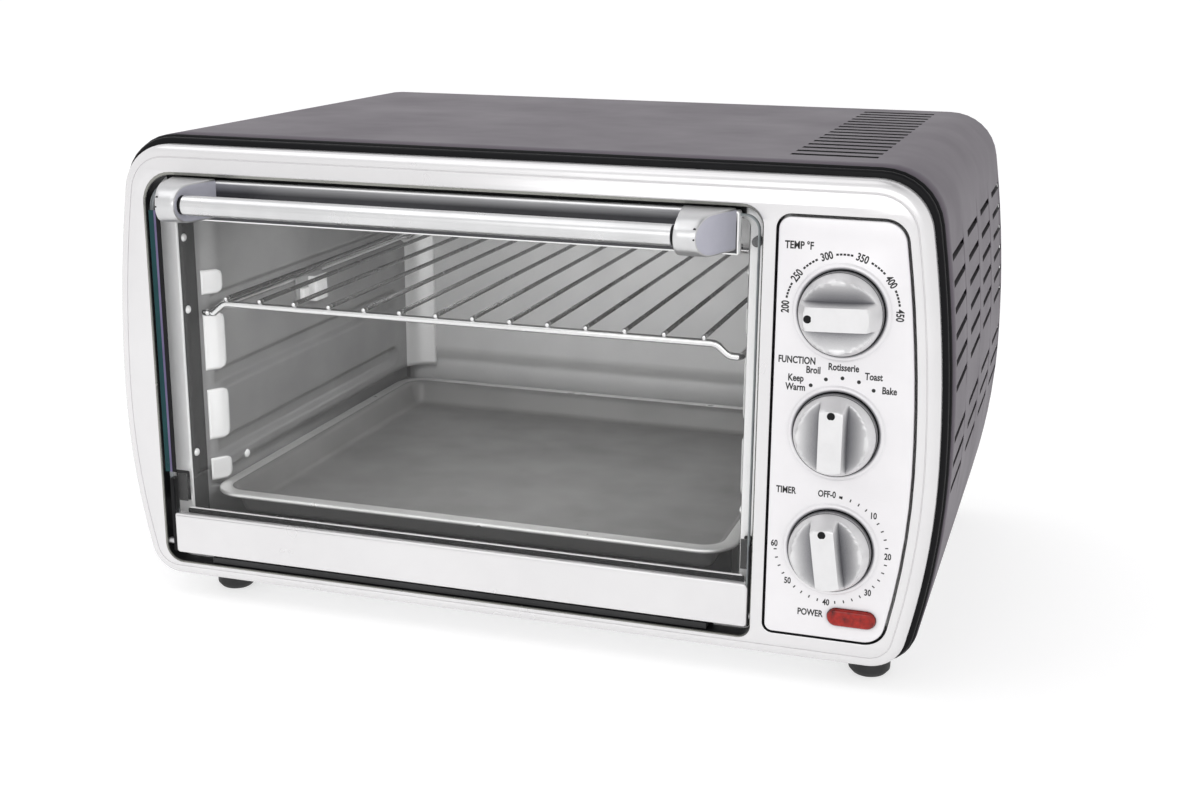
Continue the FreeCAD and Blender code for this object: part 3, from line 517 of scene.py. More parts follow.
# --- case --------------------------------------------------------------------------------
SHEET = 0.8
COVER_FRONT = 15.6
BODY_BOTTOM = 14.0
COVER_HALF, COVER_TOP = 233.0, 266.5
COVER_BACK = 309.8
BASE_HALF = 209.0
BARREL_BEZEL = 228.5
BEZEL_TOP = 262.0
LOUVRES = [47.6 + 15.7 * i for i in range(16)]
LOUVRE_WIDTH = 6.4
LOUVRE_SPAN = (140.6, 184.8)
SLOT_ROWS = [222.0 - 13.15 * i for i in (0, 1, 2, 3, 4, 5, 7, 8, 9)]
SLOT_COLUMNS = [31.0 + 74.0 * i for i in range(4)]
SLOT_LENGTH, SLOT_HEIGHT = 54.0, 3.6


def barrel(half, z0, z1, r_bottom, r_top, **extra):
    return outline((-1, half), (1, half), z0, z1, (r_bottom, r_bottom, r_top, r_top), **extra)


def within(value, start, length, over=-0.01):
    return start - 0.01 < value < start + length + over


def side_slot(point, share, lift):
    """Where a point of a side slot's rim lands on its floor, which deepens to the rear."""
    x, y, z = point
    return x - 0.9 - 4.6 * share, y, z + lift


def louvre(point, share, lift):
    return point[0], point[1] + 1.0 - 1.6 * share, COVER_TOP - 3.4


def recess(shape, grid, ys, i, span_y, sunk, slot):
    """Sink the cells between lines i and i + 1 of the grid; the rear end stays open."""
    rows = [k for k, v in enumerate(ys) if within(v, *span_y, over=0.01)]
    lines, inner = [], []
    for step, lift in ((1, -0.3), (0, 0.3)):
        line = [grid[k][i + step] for k in rows]
        lines.append(line)
        inner.append(shape.ring([sunk(shape.points[v], (ys[k] - span_y[0]) / span_y[1], lift)
                                 for k, v in zip(rows, line)]))
    for a, b in ((lines[0], inner[0]), (inner[1], lines[1]), (inner[0], inner[1])):
        shape.bridge(a, b, closed=False, slot=slot)
    shape.face((lines[0][0], inner[0][0], inner[1][0], lines[1][0]), slot)
    return lines, inner


def cover():
    levels = []
    for z in SLOT_ROWS:
        levels += [z - SLOT_HEIGHT / 2, z + SLOT_HEIGHT / 2]
    levels += [46.0, 58.0, 70.0, 82.0, 143.5, 234.0]
    section = barrel(COVER_HALF, BODY_BOTTOM, COVER_TOP, 22.0, 32.0, levels=sorted(levels),
                     top_x=LOUVRE_SPAN + (70.0, 0.0, -70.0, -140.0))
    breaks = {COVER_FRONT, COVER_BACK}
    for y in LOUVRES:
        breaks |= {y, y + LOUVRE_WIDTH}
    for y in SLOT_COLUMNS:
        breaks |= {y, y + SLOT_LENGTH}
    ys = sorted(breaks)
    shape = Shape()
    grid = [shape.ring(on_y(section, y)) for y in ys]
    n = len(section)
    bottom = {i for i in range(n) if abs(section[i].y - BODY_BOTTOM) < 0.01
              and abs(section[i].x) < BASE_HALF}
    row_starts = []
    for i in range(n):
        a, b = section[i], section[(i + 1) % n]
        for z in SLOT_ROWS:
            if a.x > 200 and abs(a.y - z + SLOT_HEIGHT / 2) < 0.01 and b.y > a.y:
                row_starts.append(i)
    top_start = next(i for i in range(n) if abs(section[i].x - LOUVRE_SPAN[1]) < 0.01
                     and section[i].y == COVER_TOP)
    for i in range(n):
        j = (i + 1) % n
        if i in bottom and j in bottom:
            continue
        for k in range(len(ys) - 1):
            in_column = any(within(ys[k], y, SLOT_LENGTH) for y in SLOT_COLUMNS)
            in_louvre = any(within(ys[k], y, LOUVRE_WIDTH) for y in LOUVRES)
            if (i in row_starts and in_column) or (i == top_start and in_louvre):
                continue
            shape.face((grid[k][i], grid[k][j], grid[k + 1][j], grid[k + 1][i]))
    # Painted shade: the side slots' insides take the slot shadow finish and the louvres' insides
    # the black moulding.
    for i in row_starts:
        for y in SLOT_COLUMNS:
            recess(shape, grid, ys, i, (y, SLOT_LENGTH), side_slot, 1)
    for y in LOUVRES:
        lines, inner = recess(shape, grid, ys, top_start, (y, LOUVRE_WIDTH), louvre, 2)
        shape.face((lines[1][-1], inner[1][-1], inner[0][-1], lines[0][-1]), 2)
    obj = shape.piece("outer_cover_shell", "oven_body", [PAINT, SLOT_SHADOW, BLACK],
                      ["outer_cover"], 28)
    thicken(obj, SHEET)


def feet():
    shape = Shape()
    low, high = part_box("feet")
    radius = 11.0
    profile = [(0.8, 0.35), (5.8, 0.3), (6.0, 0.0), (8.3, 0.0), (8.9, 0.4), (10.8, 2.6),
               (11.0, 3.4), (11.0, 8.6), (10.4, 9.0), (10.4, 14.0)]
    for x in (low.x / MM + radius, high.x / MM - radius):
        for y in ((low.y - FACE_Y) / MM + radius, (high.y - FACE_Y) / MM - radius):
            shape.close(shape.loft([[(px, py, z) for px, _, py in circle(x, y, r, 40, 0.0)]
                                    for r, z in profile]))
    shape.piece("rubber_feet", "oven_body", [RUBBER], ["feet"])


def gasket():
    path = barrel(231.5, BODY_BOTTOM, 265.3, 21.0, 31.0)
    profile = [(1.1, 15.5), (1.1, 14.5), (0.6, 14.0), (-0.5, 13.5), (-0.5, 13.0), (0.0, 12.5),
               (0.0, 10.6), (-0.5, 9.8), (-1.3, 9.5), (-4.6, 9.5), (-4.6, 15.5)]
    shape = Shape()
    shape.loft(edge_rings(path, profile), around=True)
    shape.piece("bezel_gasket_ring", "oven_body", [GASKET], ["bezel_gasket"], 50)


OPENING = dict(left=-205.3, right=138.0, z0=22.8, z1=246.0, radii=(10.0, 6.0, 10.0, 17.0))
PANEL_RADII = (4.0, 11.0, 11.0, 6.0)
PANEL_LEFT, PANEL_HALF, PANEL_Z = 146.2, 216.3, (28.7, 242.8)
PANEL_GAP = 1.1


def panel_path():
    return outline(PANEL_LEFT, (1, PANEL_HALF), *PANEL_Z, PANEL_RADII)


def lip_path(share):
    """The opening's outline, spread by share of the rolled lip's width on each side."""
    return outline(OPENING["left"] - 0.7 * share, OPENING["right"] + 0.8 * share,
                   OPENING["z0"] - 0.6 * share, OPENING["z1"] + 2.0 * share,
                   [r + share for r in OPENING["radii"]], side_steps=6)


def bezel():
    shape = Shape()
    outer = barrel(BARREL_BEZEL, BODY_BOTTOM, BEZEL_TOP, 20.0, 29.0, side_steps=20, arc_steps=12)
    roll = [(-2.4, 11.0), (-0.3, 11.0), (0.0, 10.6), (0.0, 5.6), (-0.25, 4.2), (-0.9, 2.9),
            (-2.0, 1.8), (-3.6, 0.95), (-5.2, 0.55), (-5.9, 0.5), (-6.1, 0.85), (-6.45, 0.85),
            (-6.6, 0.25), (-6.95, 0.0)]
    outer_rings = shape.loft(edge_rings(outer, roll))
    lip = [(1.0, 0.0), (0.9, 0.1), (0.75, 0.3), (0.5, 0.5), (0.2, 0.75), (0.05, 1.1), (0.0, 1.6)]
    lip_rings = [on_y(lip_path(share), y) for share, y in lip]
    door_rings = shape.loft(lip_rings[:2])
    # The inner part of the opening's lip takes the painted shade finish.
    shape.loft(lip_rings[1:], slot=2)
    # Painted shade: the walls inside the door opening and round the panel groove are black
    # moulding, for the shade inside them.
    door_shade_walls = shape.loft(edge_rings(lip_path(0.0), [(0.0, 1.6), (0.0, 10.9), (2.4, 10.9),
                                                      (2.4, 3.4)]), slot=1)
    groove = [(PANEL_GAP + d, y) for d, y in ((0.9, 0.0), (0.35, 0.12), (0.08, 0.4), (0.0, 0.8),
                                              (0.0, 10.9), (2.4, 10.9), (2.4, 3.4))]
    panel_rings = shape.loft(edge_rings(panel_path(), groove[:2]))
    panel_shade_walls = shape.loft(edge_rings(panel_path(), groove[1:]), slot=1)
    shape.fill([outer_rings[-1], door_rings[0], panel_rings[0]])
    back = shape.ring(on_y(grown(outer, -2.4), 3.4))
    shape.bridge(back, outer_rings[0])
    shape.fill([back, door_shade_walls[-1], panel_shade_walls[-1]])
    shape.piece("front_bezel_moulding", "oven_body", [SILVER, BLACK, LIP_SHADE], ["front_bezel"],
                40)


# --- control panel -----------------------------------------------------------------------
DIAL_X = 178.5
DIAL_Z = {"temperature": 197.8, "function": 137.3, "timer": 76.8}
DIAL_REST = {"temperature": -92.0, "function": 0.0, "timer": -8.0}
LENS = (190.7, 41.0, 24.5, 9.0)
PANEL_FACE = -0.8
PRINT_Y = PANEL_FACE - 0.02
SHAFT_HOLE_R = 3.6


def control_panel():
    shape = Shape()
    edge = [(0.0, 1.4), (0.0, 0.0), (-0.12, -0.35), (-0.4, -0.65), (-0.9, PANEL_FACE)]
    rings = shape.loft(edge_rings(panel_path(), edge))
    holes = []
    for z in DIAL_Z.values():
        bead = [(24.6, PANEL_FACE), (24.1, -1.0), (23.7, -1.6), (23.1, -2.0), (22.3, -2.1),
                (21.6, -1.8), (21.15, -1.2), (21.05, -0.8)]
        bead_rings = shape.lathe(bead, DIAL_X, z)
        # Painted shade: the floor of each knob well is black, for the shadow gap round the knob.
        shape.lathe([(21.05, -0.8), (21.0, -0.6), (SHAFT_HOLE_R, -0.6),
                     (SHAFT_HOLE_R, 1.4)], DIAL_X, z, slot=1)
        holes.append(bead_rings[0])
    window = stadium(*LENS)
    lens_lip = shape.loft(edge_rings(window, [(0.9, PANEL_FACE), (0.35, -0.7), (0.15, -0.3),
                                              (0.12, 1.4)]))
    shape.fill([rings[-1]] + holes + [lens_lip[0]])
    back_holes = []
    for z in DIAL_Z.values():
        back_holes.append(shape.ring(circle(DIAL_X, z, SHAFT_HOLE_R, 64, 1.4)))
    shape.fill([rings[0]] + back_holes + [lens_lip[-1]])
    shape.piece("control_panel_plate", "oven_body", [PANEL, BLACK], ["control_panel"],
                45)


def lens():
    shape = Shape()
    window = stadium(*LENS, steps=12)
    profile = [(-0.6, 4.0), (-0.02, 3.6), (-0.02, -1.7), (-0.25, -2.3), (-0.8, -2.75),
               (-1.6, -2.95), (-3.0, -3.0)]
    shape.solid(window, profile)
    shape.piece("power_lamp_lens", "oven_body", [LAMP_RED], ["indicator_lens"], 40)


def polar(cx, cz, r, degrees):
    a = math.radians(degrees)
    return cx + r * math.sin(a), cz + r * math.cos(a)


def text_faces(shape, words, x, z, size, turn, squeeze):
    """Flat printed letters, centred at x, z, turned clockwise by turn degrees."""
    curve = bpy.data.curves.new("print", "FONT")
    curve.body = words
    curve.size = size
    curve.align_x = "CENTER"
    curve.align_y = "CENTER"
    curve.extrude = 0.02
    curve.offset = 0.027 * size
    curve.resolution_u = 3
    holder = bpy.data.objects.new("print", curve)
    mesh = bpy.data.meshes.new_from_object(holder)
    a = math.radians(turn)
    start = len(shape.points)
    for v in mesh.vertices:
        px, pz = v.co.x * squeeze, v.co.y
        shape.points.append((x + px * math.cos(a) + pz * math.sin(a), PRINT_Y - v.co.z,
                             z - px * math.sin(a) + pz * math.cos(a)))
    for polygon in mesh.polygons:
        shape.face([start + i for i in polygon.vertices])
    bpy.data.objects.remove(holder)
    bpy.data.curves.remove(curve)
    bpy.data.meshes.remove(mesh)


def mark(shape, cx, cz, r0, r1, degrees, width):
    """A short printed dash from radius r0 to r1."""
    a = math.radians(degrees)
    u, v = Vector((math.sin(a), math.cos(a))), Vector((math.cos(a), -math.sin(a)))
    centre = Vector((cx, cz))
    corners = [centre + u * r + v * w for r, w in ((r0, -width), (r0, width), (r1, width),
                                                   (r1, -width))]
    shape.close(shape.loft([on_y(corners, PRINT_Y - 0.02), on_y(corners, PRINT_Y + 0.02)]))


def dot(shape, x, z, r):
    shape.close(shape.loft([circle(x, z, r, 20, PRINT_Y + lift) for lift in (0.02, -0.02)]))


LABELS = (("TEMP °F", 156.5, 229.2, 5.2, 0.76), ("FUNCTION", 157.6, 172.6, 4.9, 0.74),
          ("Keep", 157.4, 163.6, 4.9, 0.76), ("Warm", 157.4, 159.0, 4.9, 0.76),
          ("Broil", 165.9, 168.2, 4.9, 0.76), ("Rotisserie", 180.6, 170.6, 4.9, 0.76),
          ("Toast", 195.4, 167.2, 4.9, 0.76), ("Bake", 203.3, 160.8, 4.9, 0.76),
          ("TIMER", 154.8, 105.5, 4.9, 0.74), ("OFF-0", 175.4, 105.4, 4.7, 0.74),
          ("POWER", 169.6, 41.4, 4.9, 0.76))


def panel_print():
    shape = Shape()
    z = 198.4
    angles = [-89.0, -54.5, -18.0, 18.0, 55.0, 90.0]
    for value, angle in zip(range(200, 451, 50), angles):
        x, zz = polar(DIAL_X, z, 27.6, angle)
        text_faces(shape, str(value), x, zz, 5.3, angle, 0.76)
    for a, b in zip(angles, angles[1:]):
        for i in range(5):
            angle = a + (b - a) * (0.30 + 0.10 * i)
            mark(shape, DIAL_X, z, 27.2, 28.2, angle, 0.62)
    for i in range(5):
        x, zz = polar(180.3, 138.6, 26.8, (i - 2) * 17.5)
        dot(shape, x, zz, 0.95)
    for words, x, zz, size, squeeze in LABELS:
        text_faces(shape, words, x, zz, size, 0, squeeze)
    z = 76.6
    for i in range(1, 7):
        x, zz = polar(DIAL_X, z, 28.6, 45.5 * i if i < 6 else 270.0)
        text_faces(shape, str(i * 10), x, zz, 4.6, 0, 0.76)
    for i in range(30):
        angle = 9.1 * i
        if i % 5:
            mark(shape, DIAL_X, z, 27.4, 28.9, angle, 0.30)
    mark(shape, DIAL_X, z, 27.6, 28.8, 7.5, 0.6)
    shape.piece("panel_print", "oven_body", [PRINT], (), 40)


KNOB_R = 20.7
CROWN_R = 15.8
KNOB_TOP = 16.6
GRIP_HALF = 6.3


def knob_height(along, across):
    """Height of the knob's front above its skirt: a blunt cone, scooped beside the grip."""
    r = math.hypot(along, across)
    plateau = KNOB_TOP - 0.35 * (r / 17.0) ** 2
    flank = 4.4 + (KNOB_TOP - 4.4) * (KNOB_R - 0.5 - r) / (KNOB_R - 0.5 - CROWN_R)
    cone = min(plateau, flank)
    near = 1.1
    if abs(plateau - flank) < near:
        cone -= (near - abs(plateau - flank)) ** 2 / (4 * near)
    p = abs(across)
    if p <= GRIP_HALF - 0.5:
        return cone
    wall = ease((p - GRIP_HALF + 0.5) / 1.2)
    scoop = 7.6 + 6.8 * (max(p - GRIP_HALF - 0.7, 0.0) / (KNOB_R - GRIP_HALF)) ** 1.5
    return cone + (min(cone, scoop) - cone) * wall


def knob(dial):
    shape = Shape()
    z = DIAL_Z[dial]
    rest = math.radians(DIAL_REST[dial])
    limit = KNOB_R - 0.15
    start = GRIP_HALF + 0.7
    across = [0.0, 2.4, 4.4, 5.4, 5.8, 6.2, 6.6]
    across += [start + (limit * 0.999 - start) * math.sin(i / 12 * math.pi / 2) for i in range(13)]
    across = [-p for p in reversed(across[1:])] + across
    spread = [math.sin(math.pi / 2 * (i / 20 - 1)) for i in range(41)]
    lines = []
    for p in across:
        reach = math.sqrt(max(limit * limit - p * p, 0.0))
        line = []
        for s in spread:
            q = s * reach
            x = DIAL_X + q * math.sin(rest) + p * math.cos(rest)
            zz = z + q * math.cos(rest) - p * math.sin(rest)
            line.append((x, -2.4 - knob_height(q, p), zz))
        lines.append(shape.ring(line))
    for a, b in zip(lines, lines[1:]):
        shape.bridge(a, b, closed=False)
    rim = list(lines[0]) + [r[-1] for r in lines[1:-1]] + list(reversed(lines[-1]))
    rim += [r[0] for r in reversed(lines[1:-1])]
    edge = [shape.points[i] for i in rim]
    for r, y in ((KNOB_R, -6.2), (KNOB_R, -1.6), (KNOB_R - 0.3, -1.2), (4.0, -1.2), (4.0, -9.0)):
        ring = []
        for x, _, zz in edge:
            ray = Vector((x - DIAL_X, zz - z)).normalized() * r
            ring.append((DIAL_X + ray.x, y, z + ray.y))
        lower = shape.ring(ring)
        shape.bridge(rim, lower)
        rim = lower
    shape.face(rim)
    q = 13.4
    cx, cz = DIAL_X + q * math.sin(rest), z + q * math.cos(rest)
    top = -2.4 - knob_height(q, 0.0)
    spot = shape.loft([circle(cx, cz, 1.95, 24, top + 0.5), circle(cx, cz, 1.95, 24, top - 0.05)],
                      slot=1)
    shape.close(spot, 1)
    shape.piece(dial + "_knob_cap", dial + "_dial", [KNOB, BLACK], [dial + "_knob"],
                50)


# --- door --------------------------------------------------------------------------------
DOOR = (-199.5, 136.5, 27.8, 243.8)
GLASS_LEFT, GLASS_STEP = -204.3, 74.0
RAIL_X = (-189.5, 126.3)
DOOR_FRONT = 1.0
HANDLE_X, HANDLE_HALF, HANDLE_Y, HANDLE_Z = -31.5, 134.0, -26.0, 234.8


def pane():
    shape = Shape()
    x0, x1, _, z1 = DOOR
    path = []
    for p in outline(GLASS_LEFT, x1, 42.2, z1 - 1.4, (2.0, 2.0, 8.0, 16.0), side_steps=4):
        low_left = p.x < 0 and p.y < GLASS_STEP
        if low_left and path and path[-1].x < 0 and path[-1].y > GLASS_STEP:
            path += [Vector((GLASS_LEFT, GLASS_STEP + 0.3)), Vector((x0, GLASS_STEP - 0.3))]
        path.append(Vector((p.x + x0 - GLASS_LEFT, p.y)) if low_left else p)
    profile = [(-1.0, 5.8), (-0.15, 5.0), (0.0, 4.1), (-0.15, 3.2), (-1.0, 2.4)]
    rings = shape.loft(edge_rings(path, profile), slot=1)
    shape.cap(rings)
    shape.piece("door_glass_pane", "door", [PANE, PANE_EDGE], ["door_glass"], 60)


def pane_edge_bands():
    """Upright stripes down the pane's hinge-side edge: the glass's teal edge, a violet painted
    reflection of the bezel's inner side wall, and a black stripe.
    """
    shape = Shape()
    stripes = ((0.1, 3.1, 0), (3.1, 4.5, 1), (4.5, 7.0, 2))
    for x0, x1, slot in stripes:
        path = square_path(GLASS_LEFT + x0, GLASS_LEFT + x1, GLASS_STEP + 2.0, 226.0, 0.2, 2)
        shape.solid(path, [(0.0, 2.3), (0.0, 1.95), (-0.1, 1.85)], slot)
    shape.piece("pane_edge_bands", "door", [TEAL, VIOLET_REFLECTION, BLACK], (), 40)


def lower_panel():
    shape = Shape()
    x0, x1, z0, _ = DOOR
    top = 51.5
    path = outline(x0, x1, z0, top, (2.0, 2.0, 3.0, 1.2), side_steps=3)
    rings = shape.loft(edge_rings(path, [(-0.6, 7.0), (-0.6, 2.4), (0.0, 2.2), (0.0, 1.7),
                                         (-0.2, 1.25), (-0.7, 1.0), (-1.4, 0.95)]))
    shape.fill([rings[-1]])
    shape.face(rings[0])
    # Painted shade: the plate behind the pane's lower edge is black, for the shade behind the
    # glass.
    inner = square_path(x0 + 6, x1 - 3, z0 + 0.8, top + 2.5, 1)
    shape.solid(inner, [(0.0, 5.95), (0.0, 6.95), (-0.3, 7.05)], 1)
    edge = square_path(x0 + 7, x1 - 4, top + 2.5, top + 3.1, 0.1, 2)
    shape.solid(edge, [(0.0, 5.95), (0.0, 7.0)])
    shape.piece("door_lower_trim", "door", [SILVER, BLACK], ["door_lower_panel"],
                40)


def top_rail():
    shape = Shape()
    z1 = DOOR[3]
    path = outline(*RAIL_X, 222.0, z1, (0.8, 0.8, 1.6, 1.6), side_steps=3)
    rings = shape.loft(edge_rings(path, [(-0.3, 7.0), (0.0, 6.7), (0.0, 2.0), (-0.25, 1.3),
                                         (-0.9, 1.0)]), slot=1)
    shape.cap(rings)
    shape.piece("door_top_rail_skin", "door", [RAIL, BRIGHT], ["door_top_rail"], 40)


def handle_tube():
    shape = Shape()
    collar, ends = HANDLE_HALF - 2.0, HANDLE_HALF + 3.5
    shape.loft([circle_x(HANDLE_X + h, HANDLE_Y, HANDLE_Z, r, 40)
                for h, r in ((-collar, 5.0), (-collar + 0.2, 5.3), (collar - 0.2, 5.3),
                             (collar, 5.0))])
    for sign in (-1, 1):
        made = shape.loft([circle_x(HANDLE_X + sign * h, HANDLE_Y, HANDLE_Z, r, 40)
                           for h, r in ((ends, 4.7), (ends - 0.3, 5.1), (collar + 0.15, 5.1),
                                        (collar, 5.0))], slot=1)
        shape.face(made[0], 1)
    shape.piece("handle_tube", "door", [BRUSHED, BLACK], ["handle_bar"], 30)


CAP_RISE, CAP_FRONT = 10.4, -34.4
NOSE_DEPTH = 15.5
NOSE_Y = CAP_FRONT + NOSE_DEPTH


def cap_widths(y):
    """Inner and outer distance from the handle's middle at depth y."""
    inner = 129.4 + 4.4 * min(1.0, (DOOR_FRONT - y) / 26.0)
    return inner, 156.3 - 0.317 * (DOOR_FRONT - y)


def cap_profile():
    """Side view from the top back edge round the nose: (y, z, outward y, outward z)."""
    flat = [DOOR_FRONT + (NOSE_Y - DOOR_FRONT) * i / 6 for i in range(6)]
    points = [(y, HANDLE_Z + CAP_RISE, 0.0, 1.0) for y in flat]
    for i in range(25):
        a = math.pi * i / 24
        out = Vector((-math.sin(a) / NOSE_DEPTH, math.cos(a) / CAP_RISE)).normalized()
        points.append((NOSE_Y - NOSE_DEPTH * math.sin(a), HANDLE_Z + CAP_RISE * math.cos(a),
                       out.x, out.y))
    return points + [(y, HANDLE_Z - CAP_RISE, 0.0, -1.0) for y in reversed(flat)]


def handle_cap(sign, name, node):
    shape = Shape()
    profile = cap_profile()
    steps = len(profile) - 1
    wraps, inner, outer = [], [], []
    for y, z, out_y, out_z in profile:
        near, far = cap_widths(y)
        row = []
        for x, inset in ((near, 0.9), (near + 0.25, 0.25), (near + 0.9, 0.0), (near + 3.0, 0.0),
                         (far - 3.0, 0.0), (far - 0.9, 0.0), (far - 0.25, 0.25), (far, 0.9)):
            row.append((HANDLE_X + sign * x, min(y - out_y * inset, DOOR_FRONT), z - out_z * inset))
        made = shape.ring(row)
        wraps.append(made)
        inner.append(made[0])
        outer.append(made[-1])
    for a, b in zip(wraps, wraps[1:]):
        shape.bridge(a, b, closed=False)
    across = 8
    ends = []
    for rim in (inner, outer):
        half = steps // 2
        grid = []
        for i in range(half + 1):
            top, bottom = shape.points[rim[i]], shape.points[rim[steps - i]]
            middle = [tuple(Vector(top).lerp(Vector(bottom), k / across)) for k in range(1, across)]
            line = [rim[i]] + list(shape.ring(middle)) + [rim[steps - i]]
            grid.append(line if i < half else [rim[half]] * (across + 1))
        ends.append(grid[0])
        for a, b in zip(grid, grid[1:]):
            for k in range(across):
                corners = []
                for v in (a[k], a[k + 1], b[k + 1], b[k]):
                    if v not in corners:
                        corners.append(v)
                if len(corners) > 2:
                    shape.face(corners, 1)
    shape.face(list(wraps[0]) + ends[1][1:-1] + list(reversed(wraps[-1])) + ends[0][-2:0:-1])
    shape.piece(name, "door", [CAP_METAL, CAP_SATIN], [node], 38)


def cap_dimples():
    """Two tiny vent dots in each cap's front face."""
    shape = Shape()
    for sign in (-1, 1):
        for z, r in ((239.2, 0.75), (234.5, 0.5)):
            y = NOSE_Y - NOSE_DEPTH * math.sin(math.acos((z - HANDLE_Z) / CAP_RISE))
            x = HANDLE_X + sign * 144.2
            made = shape.loft([circle(x, z, r, 14, y + 0.8), circle(x, z, r * 0.9, 14, y - 0.06)])
            shape.close(made)
    shape.piece("cap_vent_dots", "door", [BLACK], (), 40)


# --- front frame and cavity --------------------------------------------------------------
CAVITY_X = -31.3
MOUTH = (-193.5, 129.4, 29.0, 239.0)
WALL_HALF, GROOVE_HALF = 154.0, 158.0
CAVITY_REAR, CAVITY_TOP = 300.0, 247.0
GROOVES = ((77.0, 88.5, 274.0), (118.5, 130.0, 274.0), (163.2, 175.0, 297.0))
PAN_LEDGE = (59.4, 70.5)
FLOOR_Z = 22.0
FRAME_FRONT, FRAME_BACK = 12.0, 13.2
TOP_SHADOW = (-196.0, 127.5, 9.0, 11.9, 240.5, 251.0)
FRAME_SLOTS = ((-204.4, -195.0, 56.0, 74.0), (131.6, 136.6, 58.0, 74.0),
               (-179.3, 116.7, 21.4, 27.6))


def front_frame():
    shape = Shape()
    plate = barrel(224.3, 18.2, 258.2, 16.5, 25.5)
    rim = shape.loft(edge_rings(plate, [(0.0, FRAME_BACK), (0.0, FRAME_FRONT)]))
    mouth_path = outline(*MOUTH, (4.0, 4.0, 5.0, 4.0), side_steps=6)
    lip = [(1.0, 12.0), (0.35, 12.15), (0.05, 12.6), (0.0, 13.4)]
    mouth = shape.loft(edge_rings(mouth_path, lip))
    tunnels = [shape.lathe([(5.0, FRAME_FRONT), (5.0, FRAME_BACK)], DIAL_X, z, sides=32)
               for z in DIAL_Z.values()]
    tunnels += [shape.loft(edge_rings(square_path(*sides, 1.0), [(0.0, FRAME_FRONT),
                                                                 (0.0, FRAME_BACK)]))
                for sides in FRAME_SLOTS]
    shape.fill([rim[1], mouth[0]] + [tunnel[0] for tunnel in tunnels])
    back = shape.ring(on_y(grown(mouth_path, 0.8), FRAME_BACK))
    shape.bridge(mouth[-1], back)
    shape.fill([rim[0], back] + [tunnel[1] for tunnel in tunnels])
    box_faces(shape, *TOP_SHADOW, slot=1)
    shape.piece("front_frame_sheet", "oven_body", [BRIGHT, BLACK], ["front_frame"],
                40)


CORNER_R = 20.0
SPIT_Y, SPIT_Z = 141.0, 156.5
FLARE_END = 42.0


def groove_share(y, z):
    """1 inside a pressed groove, 0 on the plain wall, easing between them."""
    best = 0.0
    for z0, z1, end in GROOVES:
        half = (z1 - z0) / 2
        beyond = max(y - (end - half), 0.0)
        distance = math.hypot(beyond, z - (z0 + z1) / 2) - half
        best = max(best, ease((1.4 - distance) / 4.2))
    return best


def plain_half(y, sign):
    """Half width of the plain wall: flared at the mouth, rounded into the back sheet."""
    mouth_half = abs(MOUTH[1 if sign > 0 else 0] - CAVITY_X) - 0.4
    flare = (mouth_half - WALL_HALF) * (1 - ease((y - 26.0) / (FLARE_END - 26.0)))
    rear = max(y - (CAVITY_REAR - CORNER_R), 0.0)
    return WALL_HALF + flare - (CORNER_R - math.sqrt(max(CORNER_R ** 2 - rear ** 2, 0.0)))


def side_wall(sign, name, node):
    shape = Shape()
    ys = [14.0, 20.0, 26.0, 28.0, 30.0, 32.0, 34.0, 36.0, 38.0, 40.0, 42.0, 60.0, 110.0, 160.0]
    ys += [210.0, 245.0] + [258.0 + 2.0 * i for i in range(20)] + [297.5, 299.0, 299.7, 300.0]
    zs = {PAN_LEDGE[1], 73.5, 96.0, 104.0, 111.0, 140.0, 148.0, 156.0, 190.0, 208.0, 226.0,
          CAVITY_TOP}
    for z0, z1, _ in GROOVES:
        zs |= {z0 - 3.0 + (z1 - z0 + 6.0) * i / 16 for i in range(17)}
    lines = []
    for z in sorted(zs):
        line = []
        for y in ys:
            plain = plain_half(y, sign)
            half = plain + max(GROOVE_HALF - plain, 0.0) * groove_share(y, z)
            line.append((CAVITY_X + sign * half, y, z))
        lines.append(shape.ring(line))
    # Painted shade: each wall's front strip, ahead of y 28, takes the shadow steel.
    dark, corner = ys.index(28.0), ys.index(288.0)
    for a, b in zip(lines, lines[1:]):
        shape.bridge(a[:dark + 1], b[:dark + 1], closed=False, slot=1)
        shape.bridge(a[dark:corner + 1], b[dark:corner + 1], closed=False)
        # The rounded rear corner takes the painted highlight steel.
        shape.bridge(a[corner:], b[corner:], closed=False, slot=2)
    low = [(WALL_HALF, PAN_LEDGE[1]), (GROOVE_HALF - 1.0, PAN_LEDGE[1] - 2.0),
           (GROOVE_HALF, PAN_LEDGE[1] - 3.2), (GROOVE_HALF, PAN_LEDGE[0] + 0.8),
           (GROOVE_HALF - 0.8, PAN_LEDGE[0]), (150.8, PAN_LEDGE[0]), (150.0, PAN_LEDGE[0] - 0.8),
           (150.0, FLOOR_Z + 2.0)]
    rows = []
    for h, z in low:
        depths = ((14.0, plain_half(14.0, sign)), (28.0, plain_half(26.0, sign)),
                  (FLARE_END, h), (120.0, h), (CAVITY_REAR, h))
        rows.append([(CAVITY_X + sign * half, y, z) for y, half in depths])
    made = [shape.ring(row) for row in rows]
    for a, b in zip(made, made[1:]):
        shape.bridge(a[:2], b[:2], closed=False, slot=1)
        shape.bridge(a[1:], b[1:], closed=False)
    obj = shape.piece(name, "oven_body", [CAVITY, SHADOW_STEEL, CORNER_HIGHLIGHT], [node],
                      50)
    thicken(obj, SHEET, 1.0)


